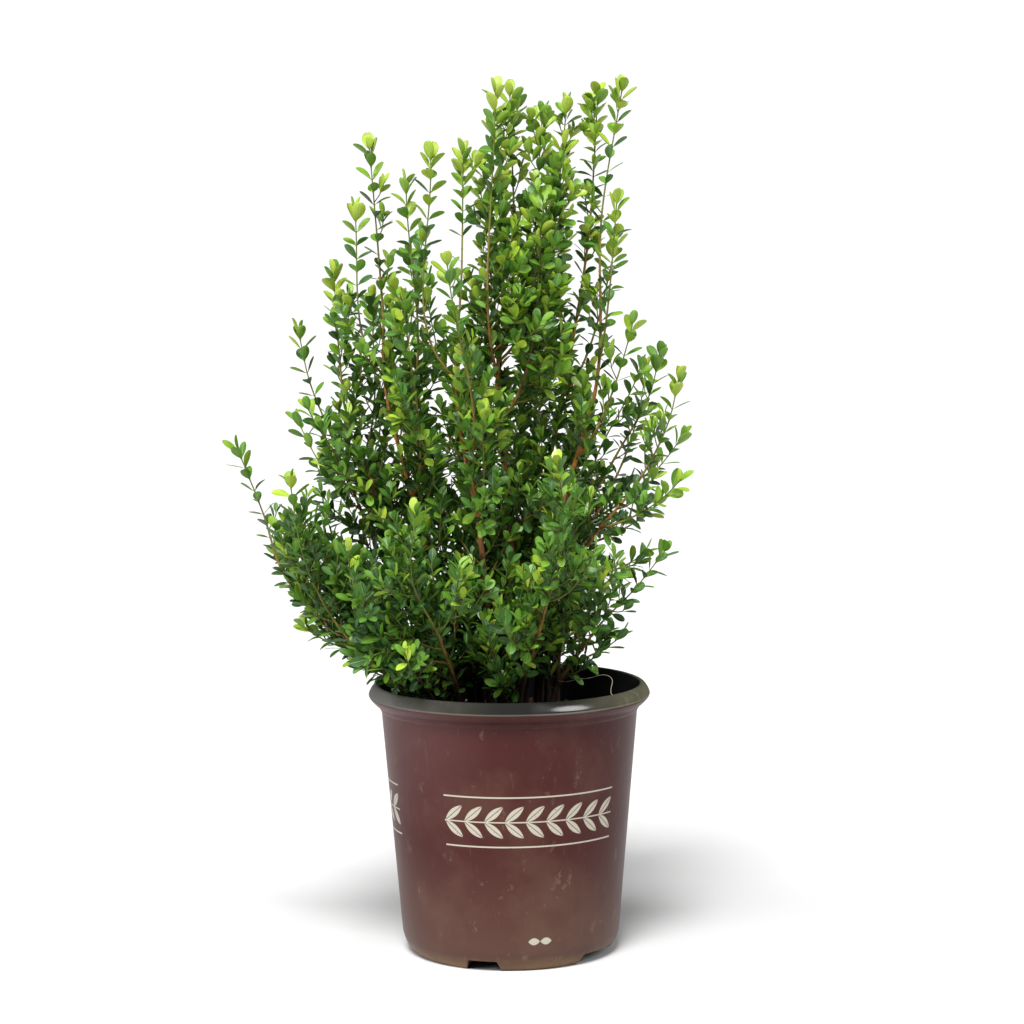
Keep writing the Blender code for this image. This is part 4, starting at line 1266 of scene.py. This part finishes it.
upper_side = blade_finish("leaf_upper_side", True)
under_side = blade_finish("leaf_under_side", False)
for number, (name, twigs) in enumerate(stem_twigs.items()):
    leaves = leaf_places(name, number, twigs, grown)
    if name == "stem_right_low":
        # One leaf is left on the dry strand
        tilt = Matrix.Rotation(-0.35, 3, "Y") @ Matrix.Rotation(1.25, 3, "X")
        leaves.append(("broad_cupped", np.array(tilt) * 9 * MM, np.array(STRAND_POINTS[4]) * MM,
                       0.34, 0.5))
    corners, faces, sides, spots, ages, tones = [], [], [], [], [], []
    start = 0
    for kind, pattern in PATTERNS.items():
        chosen = [leaf[1:] for leaf in leaves if leaf[0] == kind]
        if not chosen:
            continue
        axes, feet, chosen_ages_and_shades, chosen_tones = [np.array(column) for column in zip(*chosen)]
        size = len(pattern["corners"])
        turned_leaves = np.einsum("nij,vj->nvi", axes, pattern["corners"])
        corners.append((turned_leaves + feet[:, None]).reshape(-1, 3))
        shifts = start + size * np.arange(len(chosen))
        faces.append((pattern["faces"][None] + shifts[:, None, None]).reshape(-1, 4))
        sides += pattern["sides"] * len(chosen)
        spots.append(np.tile(pattern["spots"], (len(chosen), 1)))
        ages.append(np.repeat(chosen_ages_and_shades, size))
        tones.append(np.repeat(chosen_tones, size))
        start += size * len(chosen)
    faces = np.concatenate(faces).tolist()
    foliage = new_piece(name.replace("stem", "leaves"), np.concatenate(corners), faces)
    note(foliage, "leaf_age", np.concatenate(ages))
    note(foliage, "leaf_tone", np.concatenate(tones))
    mesh = foliage.data
    mesh.uv_layers.new(name="blade").data.foreach_set("uv", np.concatenate(spots).ravel())
    mesh.materials.append(upper_side)
    mesh.materials.append(under_side)
    mesh.polygons.foreach_set("material_index", sides)
    mesh.set_sharp_from_angle(angle=math.radians(75))
    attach(foliage, "root")
    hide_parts(name)

# Fallen leaves
# Old leaves that have dropped on the soil between the stems and dried yellow and brown. They lie
# loose and a little tilted, and are drawn from one of the living leaf's patterns.
FALLEN_LEAVES = 46
leaf_lying = scattered(FALLEN_LEAVES, 57, (9 * MM, 13 * MM), ((0.95, 1.0),) * 3, 0.16)
flat_leaf = PATTERNS["small_flat"]
litter = joined_copies("fallen_leaves", flat_leaf["corners"], flat_leaf["faces"].tolist(), leaf_lying)
dry_leaf = Finish("dry_leaf", Specular_IOR_Level=0.3)
leaf_by_leaf = dry_leaf.cloud(42.0, 1.0, 0.5)
dry_spots = dry_leaf.cloud(380.0, 4.0, 0.65)
dry_leaf.color(dry_leaf.node("ValToRGB", {"stops": (
    (0.30, (0.085, 0.045, 0.022)), (0.48, (0.200, 0.110, 0.045)), (0.62, (0.420, 0.310, 0.070)),
    (0.75, (0.330, 0.340, 0.080)))}, {"Fac": leaf_by_leaf + (dry_spots - 0.5) * 0.20}))
dry_leaf.roughness(0.50 + 0.35 * dry_spots)
dry_leaf.bump(dry_spots, 0.4 * MM)
litter.data.materials.append(dry_leaf.material)
